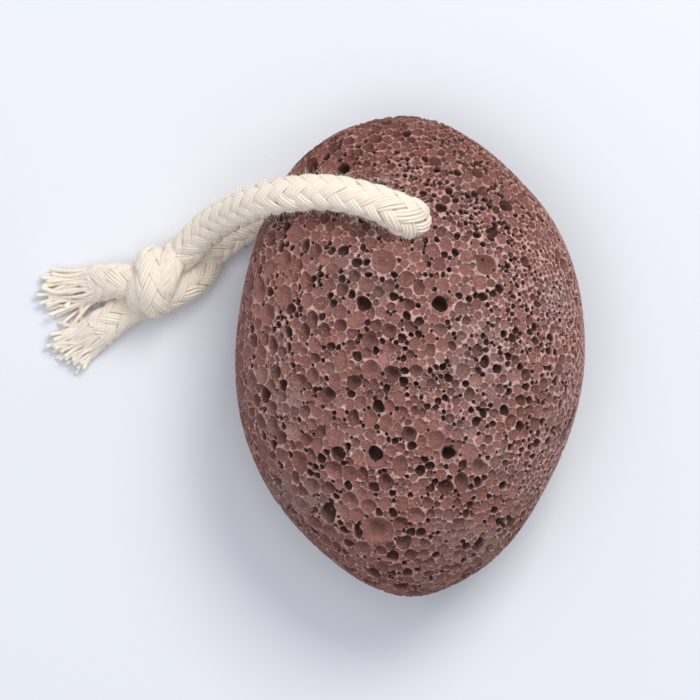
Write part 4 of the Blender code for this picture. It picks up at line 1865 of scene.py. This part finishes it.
@dataclass(frozen=True)
class RubbedPumice:
    """Red-brown lava pumice, sawn and tumbled: dull glass foam with pale dusty rims."""

    floor: str = "#81554E"
    floor_grey: str = "#7C6863"
    land: str = "#8C625A"
    land_red: str = "#92625B"
    land_fine: str = "#BE938B"
    # Rim colour: partly dust, partly a painted highlight where the ridges catch the light.
    rim: str = "#C2A098"
    # Painted shade colour of the holes, the deep bubbles, the pits and the pin holes.
    deep: str = "#1E0F0C"
    # Darker, redder tint of the end with the drilled hole.
    hole_end_tint: tuple = (0.80, 0.64, 0.60)
    crystal: str = "#E9E2DB"
    roughness: float = 0.88
    gloss: float = 0.25
    cell: float = 0.66 * MM
    pit: float = 1.15 * MM
    pit_sway: float = 0.45 * MM
    pin: float = 0.55 * MM
    dust: float = 0.33 * MM
    grain: float = 0.60 * MM
    blotch: float = 1.5 * MM

    def make(self) -> Any:
        """Make the node material.

        Returns:
            The material, which reads the stone's numbers at its points.
        """
        m = new_material("rubbed_pumice")
        add = partial(add_node, m)
        place = add("TexCoord", "Object", {})
        depth = add("Attribute", "Fac", {}, attribute_name="depth_mm")
        edge = add("Attribute", "Fac", {}, attribute_name="edge_mm")
        tone = add("Attribute", "Fac", {}, attribute_name="tone")
        fine = add("Attribute", "Fac", {}, attribute_name="fine")
        # Painted shade of the bubbles and holes, worked out from their depths.
        hole = add("Attribute", "Fac", {}, attribute_name="painted_shade")

        # Iron-rich patches of a few millimetres to centimetres: redder or greyer.
        patch = add(
            "TexNoise", "Fac", {"Vector": place, "Scale": 60.0, "Detail": 4.0, "Roughness": 0.62}
        )
        leaning = add("Math", 0, {0: tone, 1: 0.02, 2: patch}, operation="MULTIPLY_ADD")
        grey = add("MapRange", 0, {0: leaning, 1: 0.48, 2: 0.70, 3: 0.0, 4: 0.8})
        tints = {0: grey, 6: linear(self.floor), 7: linear(self.floor_grey)}
        floor = add("Mix", 2, tints, data_type="RGBA")
        redness = add("MapRange", 0, {0: patch, 1: 0.36, 2: 0.60, 3: 0.0, 4: 1.0})
        tints = {0: redness, 6: linear(self.land_red), 7: linear(self.land)}
        land = add("Mix", 2, tints, data_type="RGBA")
        pinkness = add("MapRange", 0, {0: fine, 1: 0.35, 2: 0.80, 3: 0.0, 4: 1.0})
        land = add("Mix", 2, {0: pinkness, 6: land, 7: linear(self.land_fine)}, data_type="RGBA")

        # Foam too fine for its own openings: cells of 0.66 mm that show as faint rims in the pale
        # rim colour, partly a painted highlight on their ridges.
        cells = {"Vector": place, "Scale": 1 / self.cell, "Randomness": 1.0}
        cell_edge = add("TexVoronoi", "Distance", cells, feature="DISTANCE_TO_EDGE")
        cell_rim = add("MapRange", 0, {0: cell_edge, 1: 0.03, 2: 0.16, 3: 1.0, 4: 0.0})
        between = add("MapRange", 0, {0: edge, 1: -0.16, 2: -0.05, 3: 1.0, 4: 0.0})

        # Rims: lines of about 0.15 mm, pale partly from dust caught on them and partly as a painted
        # highlight where the ridges catch the light, paler in drifts.
        dust_and_highlight = add("TexNoise", "Fac", {"Vector": place, "Scale": 420.0, "Detail": 2.0})
        dust_and_highlight = add("MapRange", 0, {0: dust_and_highlight, 1: 0.36, 2: 0.64, 3: 0.15, 4: 0.85})
        near = add("Math", 0, {0: edge}, operation="ABSOLUTE")
        line = add("MapRange", 0, {0: near, 1: 0.0, 2: 0.10, 3: 1.0, 4: 0.0})
        line = add("Math", 0, {0: line, 1: dust_and_highlight}, operation="MULTIPLY")

        lift = add("Math", 0, {0: tone, 1: 0.12, 2: 1.0}, operation="MULTIPLY_ADD")
        inside = add("VectorMath", 0, {0: floor, "Scale": lift}, operation="SCALE")
        on_land = add("MapRange", 0, {0: edge, 1: -0.02, 2: 0.09, 3: 1.0, 4: 0.0})
        colour = add("Mix", 2, {0: on_land, 6: inside, 7: land}, data_type="RGBA")
        in_cells = add("Math", 0, {0: cell_rim, 1: between}, operation="MULTIPLY")
        in_cells = add("Math", 0, {0: cell_rim, 1: 0.12, 2: in_cells}, operation="MULTIPLY_ADD")
        in_cells = add("Math", 0, {0: in_cells, 1: 0.50}, operation="MULTIPLY")
        colour = add("Mix", 2, {0: in_cells, 6: colour, 7: linear(self.rim)}, data_type="RGBA")
        colour = add("Mix", 2, {0: line, 6: colour, 7: linear(self.rim)}, data_type="RGBA")

        # Glass threads and dust, 0.2 to 0.4 mm.
        grain = add(
            "TexNoise",
            "Fac",
            {"Vector": place, "Scale": 1 / self.dust, "Detail": 4.0, "Roughness": 0.72},
        )
        grain_lift = add("MapRange", 0, {0: grain, 1: 0.38, 2: 0.62, 3: 0.70, 4: 1.34})
        colour = add("VectorMath", 0, {0: colour, "Scale": grain_lift}, operation="SCALE")
        # Blotches of 1 to 2 mm, where the glass was thicker or thinner.
        blotch = add("TexNoise", "Fac", {"Vector": place, "Scale": 1 / self.blotch, "Detail": 2.0})
        blotch = add("MapRange", 0, {0: blotch, 1: 0.32, 2: 0.68, 3: 0.86, 4: 1.14})
        colour = add("VectorMath", 0, {0: colour, "Scale": blotch}, operation="SCALE")
        # Darker and redder towards the end with the drilled hole.
        parts = add("SeparateXYZ", "Y", {0: place})
        hole_end_tint = add("MapRange", 0, {0: parts, 1: 0.022, 2: 0.048, 3: 0.0, 4: 1.0})
        hole_end_tinted = add("VectorMath", 0, {0: colour, 1: self.hole_end_tint}, operation="MULTIPLY")
        colour = add("Mix", 2, {0: hole_end_tint, 6: colour, 7: hole_end_tinted}, data_type="RGBA")

        # Small round holes, 0.3 to 0.8 mm, drawn as painted shade with a slight dip: dark spots
        # between the bubbles, and anywhere in fine foam.
        sway = add("TexNoise", "Color", {"Vector": place, "Scale": 600.0, "Detail": 1.0})
        bent = add("VectorMath", 0, {0: sway, "Scale": self.pit_sway}, operation="SCALE")
        bent = add("VectorMath", 0, {0: place, 1: bent}, operation="ADD")
        pits = {"Vector": bent, "Scale": 1 / self.pit}
        pit_pick = add("SeparateColor", "Red", {0: add("TexVoronoi", "Color", pits)})
        pit_size = add("MapRange", 0, {0: pit_pick, 1: 0.52, 2: 1.0, 3: 0.10, 4: 0.37})
        off_bubbles = add("MapRange", 0, {0: edge, 1: 0.02, 2: 0.22, 3: 1.0, 4: 0.0})
        all_over = add("MapRange", 0, {0: fine, 1: 0.35, 2: 0.85, 3: 0.0, 4: 0.9})
        pit_room = add("Math", 0, {0: off_bubbles, 1: all_over}, operation="MAXIMUM")
        pit_size = add("Math", 0, {0: pit_size, 1: pit_room}, operation="MULTIPLY")
        pit_mid = add("TexVoronoi", "Distance", pits)
        pit_far = add("Math", 0, {0: pit_size, 1: pit_mid}, operation="SUBTRACT")
        pit = add("MapRange", 0, {0: pit_far, 1: 0.0, 2: 0.05, 3: 0.0, 4: 1.0})
        some = add("Math", 0, {0: pit_pick, 1: 0.52}, operation="GREATER_THAN")
        pit = add("Math", 0, {0: pit, 1: some}, operation="MULTIPLY")

        # Pin holes of 0.1 to 0.3 mm in the walls, in drifts, drawn as painted shade: dark dots with
        # a slight dip.
        pins = add("TexVoronoi", "Distance", {"Vector": place, "Scale": 1 / self.pin})
        drift = add("TexNoise", "Fac", {"Vector": place, "Scale": 230.0, "Detail": 2.0})
        drift = add("Math", 0, {0: fine, 1: 0.03, 2: drift}, operation="MULTIPLY_ADD")
        pin_size = add("MapRange", 0, {0: drift, 1: 0.46, 2: 0.68, 3: 0.0, 4: 0.32})
        pin = add("Math", 0, {0: pins, 1: pin_size}, operation="LESS_THAN")
        few = add("MapRange", 0, {0: edge, 1: 0.05, 2: 0.45, 3: 0.9, 4: 0.15})
        pin = add("Math", 0, {0: pin, 1: few}, operation="MULTIPLY")

        # Painted shade: holes, deep bubbles, pits and pin holes are darkened towards the deep
        # colour.
        painted_hole_shade = add("MapRange", 0, {0: edge, 1: 0.02, 2: 0.16, 3: 0.0, 4: 0.93})
        painted_hole_shade = add("Math", 0, {0: painted_hole_shade, 1: hole}, operation="MULTIPLY")
        below = add("MapRange", 0, {0: depth, 1: 0.7, 2: 1.9, 3: 0.0, 4: 0.75})
        painted_shade = add("Math", 0, {0: pin, 1: pit}, operation="MAXIMUM")
        painted_shade = add("Math", 0, {0: painted_shade, 1: painted_hole_shade}, operation="MAXIMUM")
        painted_shade = add("Math", 0, {0: painted_shade, 1: below}, operation="MAXIMUM")
        painted_shade = add("Math", 0, {0: painted_shade, 1: 0.96}, operation="MULTIPLY")
        colour = add("Mix", 2, {0: painted_shade, 6: colour, 7: linear(self.deep)}, data_type="RGBA")

        # Clear grains of crystal and crumbs of dust, 0.15 mm, thickest along the rims.
        grains = {"Vector": place, "Scale": 1 / self.grain}
        pick = add("SeparateColor", "Red", {0: add("TexVoronoi", "Color", grains)})
        by_rims = add("Math", 0, {0: line, 1: on_land}, operation="MAXIMUM")
        thick = add("MapRange", 0, {0: by_rims, 1: 0.0, 2: 0.6, 3: 0.86, 4: 0.58})
        pick = add("Math", 0, {0: pick, 1: thick}, operation="GREATER_THAN")
        grain_mid = add("TexVoronoi", "Distance", grains)
        spark = add("Math", 0, {0: grain_mid, 1: 0.16}, operation="LESS_THAN")
        spark = add("Math", 0, {0: spark, 1: pick}, operation="MULTIPLY")
        spark = add("Math", 0, {0: spark, 1: 0.7}, operation="MULTIPLY")
        colour = add("Mix", 2, {0: spark, 6: colour, 7: linear(self.crystal)}, data_type="RGBA")

        height = add("Math", 0, {0: line, 1: 0.30, 2: grain}, operation="MULTIPLY_ADD")
        height = add("Math", 0, {0: in_cells, 1: 0.8, 2: height}, operation="MULTIPLY_ADD")
        height = add("Math", 0, {0: painted_shade, 1: -0.8, 2: height}, operation="MULTIPLY_ADD")
        bump = add("Bump", 0, {"Height": height, "Distance": 0.12 * MM, "Strength": 0.8})
        inputs = {
            "Base Color": colour,
            "Roughness": self.roughness,
            "Normal": bump,
            "Specular IOR Level": self.gloss,
        }
        finish_material(m, "OutputMaterial", add("BsdfPrincipled", 0, inputs))
        return m


@dataclass(frozen=True)
class CottonYarn:
    """Unbleached cotton, softly spun: matt cream, with painted shade of tan in the grooves, white
    where cut.
    """

    proud: str = "#F7EADA"
    # Painted shade colour of the grooves and the fill.
    deep: str = "#F0DFC6"
    cut: str = "#FCF4E8"
    roughness: float = 0.92
    gloss: float = 0.2
    sheen: float = 0.25
    glow: float = 0.20
    glow_reach: float = 0.5 * MM
    glow_colours: tuple = (1.0, 0.85, 0.65)

    def make(self) -> Any:
        """Make the yarns' node material.

        Returns:
            The material, which reads the yarns' numbers at their points.
        """
        m = new_material("soft_cotton")
        add = partial(add_node, m)
        place = add("TexCoord", "Object", {})
        groove_shade = add("Attribute", "Fac", {}, attribute_name="groove_shade")
        tone = add("Attribute", "Fac", {}, attribute_name="tone")
        tip = add("Attribute", "Fac", {}, attribute_name="tip")
        # Fibres of 0.02 mm drawn as lumps of 0.15 to 0.3 mm, so that they show.
        fibre = add(
            "TexNoise", "Fac", {"Vector": place, "Scale": 3600.0, "Detail": 3.0, "Roughness": 0.7}
        )
        # Painted shade in the grooves: the proud colour is mixed towards the deep tan.
        shade = add("Math", 0, {0: tone, 1: 0.05, 2: groove_shade}, operation="MULTIPLY_ADD")
        shade = add("MapRange", 0, {0: shade, 1: 0.30, 2: 1.15, 3: 0.0, 4: 0.75})
        tints = {0: shade, 6: linear(self.proud), 7: linear(self.deep)}
        colour = add("Mix", 2, tints, data_type="RGBA")
        colour = add("Mix", 2, {0: tip, 6: colour, 7: linear(self.cut)}, data_type="RGBA")
        lift = add("MapRange", 0, {0: fibre, 1: 0.3, 2: 0.7, 3: 0.92, 4: 1.06})
        colour = add("VectorMath", 0, {0: colour, "Scale": lift}, operation="SCALE")
        bump = add("Bump", 0, {"Height": fibre, "Distance": 0.08 * MM, "Strength": 0.6})
        inputs = {
            "Base Color": colour,
            "Roughness": self.roughness,
            "Normal": bump,
            "Sheen Weight": self.sheen,
            "Specular IOR Level": self.gloss,
            "Subsurface Weight": self.glow,
            "Subsurface Radius": self.glow_colours,
            "Subsurface Scale": self.glow_reach,
        }
        finish_material(m, "OutputMaterial", add("BsdfPrincipled", 0, inputs))
        return m

    def make_fibre(self) -> Any:
        """Make the node material of single fibres.

        Returns:
            The material.
        """
        m = new_material("cotton_fibre")
        add = partial(add_node, m)
        place = add("TexCoord", "Object", {})
        drift = add("TexNoise", "Fac", {"Vector": place, "Scale": 400.0})
        tints = {0: drift, 6: linear(self.cut), 7: linear(self.proud)}
        colour = add("Mix", 2, tints, data_type="RGBA")
        inputs = {"Base Color": colour, "Roughness": self.roughness, "Sheen Weight": self.sheen}
        finish_material(m, "OutputMaterial", add("BsdfPrincipled", 0, inputs))
        return m


@dataclass(frozen=True)
class StudioPaper:
    """Matt pale paper that the stone lies on."""

    colour: str = "#E4E6EC"
    roughness: float = 0.95

    def make(self) -> Any:
        """Make the node material.

        Returns:
            The material.
        """
        m = new_material("studio_paper")
        inputs = {"Base Color": linear(self.colour), "Roughness": self.roughness}
        finish_material(m, "OutputMaterial", add_node(m, "BsdfPrincipled", 0, inputs))
        return m


# --- Studio ---


@dataclass(frozen=True)
class Studio:
    """Camera straight above, pale floor and soft light from the drilled end."""

    view_x: float = -12.46 * MM
    view_y: float = 1.35 * MM
    height: float = 1.2
    sharp_height: float = 21.8 * MM
    view_width: float = 145.32 * MM
    sensor: float = 36.0
    floor_half: float = 2.0
    # Each lamp: name, place, side, watts and colour. The key hangs past the drilled end.
    lamps: tuple = (
        ("key_lamp", (0.30, 0.50, 0.76), 0.42, 5.2, "#FFFDFA"),
        ("fill_lamp", (-0.16, -0.06, 1.10), 0.8, 4.4, "#F6F9FF"),
    )
    air: str = "#E9EDF4"
    air_strength: float = 0.50

    def camera(self) -> None:
        """Set up the camera."""
        data = bpy.data.cameras.new("camera")
        data.sensor_width = self.sensor
        data.lens = self.sensor * (self.height - self.sharp_height) / self.view_width
        data.clip_start = 0.01
        obj = bpy.data.objects.new("camera", data)
        obj.location = (self.view_x, self.view_y, self.height)
        bpy.context.collection.objects.link(obj)
        bpy.context.scene.camera = obj

    def lamp(self, name: str, place: tuple, size: float, power: float, colour: str) -> None:
        """Add a square soft lamp that faces the stone.

        Args:
            name: its name.
            place: where it hangs.
            size: its side.
            power: its power in watts.
            colour: its light's sRGB hex colour.
        """
        data = bpy.data.lights.new(name, "AREA")
        data.energy = power
        data.size = size
        data.color = linear(colour)[:3]
        obj = bpy.data.objects.new(name, data)
        obj.location = place
        aim = Vector((0.0, 0.0, self.sharp_height)) - Vector(place)
        obj.rotation_euler = aim.to_track_quat("-Z", "Y").to_euler()
        bpy.context.collection.objects.link(obj)

    def build(self) -> None:
        """Set up the lights, the air and the floor."""
        bpy.context.scene.view_settings.view_transform = "Standard"
        for lamp in self.lamps:
            self.lamp(*lamp)
        world = bpy.data.worlds.new("air")
        world.use_nodes = True
        world.node_tree.nodes.clear()
        inputs = {"Color": linear(self.air), "Strength": self.air_strength}
        back = add_node(world, "Background", 0, inputs)
        finish_material(world, "OutputWorld", back)
        bpy.context.scene.world = world
        corners = self.floor_half * np.array([(-1, -1, 0), (1, -1, 0), (1, 1, 0), (-1, 1, 0)])
        floor = mesh_piece("floor", corners, np.array([[0, 1, 2, 3]]), StudioPaper().make())


def main() -> None:
    """Build the whole scene."""
    logging.basicConfig(level=logging.INFO, format="%(name)s %(message)s")
    studio = Studio()
    studio.camera()
    form, route = PebbleForm(), RopeRoute()
    cotton = CottonYarn()
    RopeLoop(route).build(cotton.make(), cotton.make_fibre())
    PumiceStone(form, route, BubbleField(form, route)).build(RubbedPumice().make())
    studio.build()


if __name__ == "__main__":
    main()
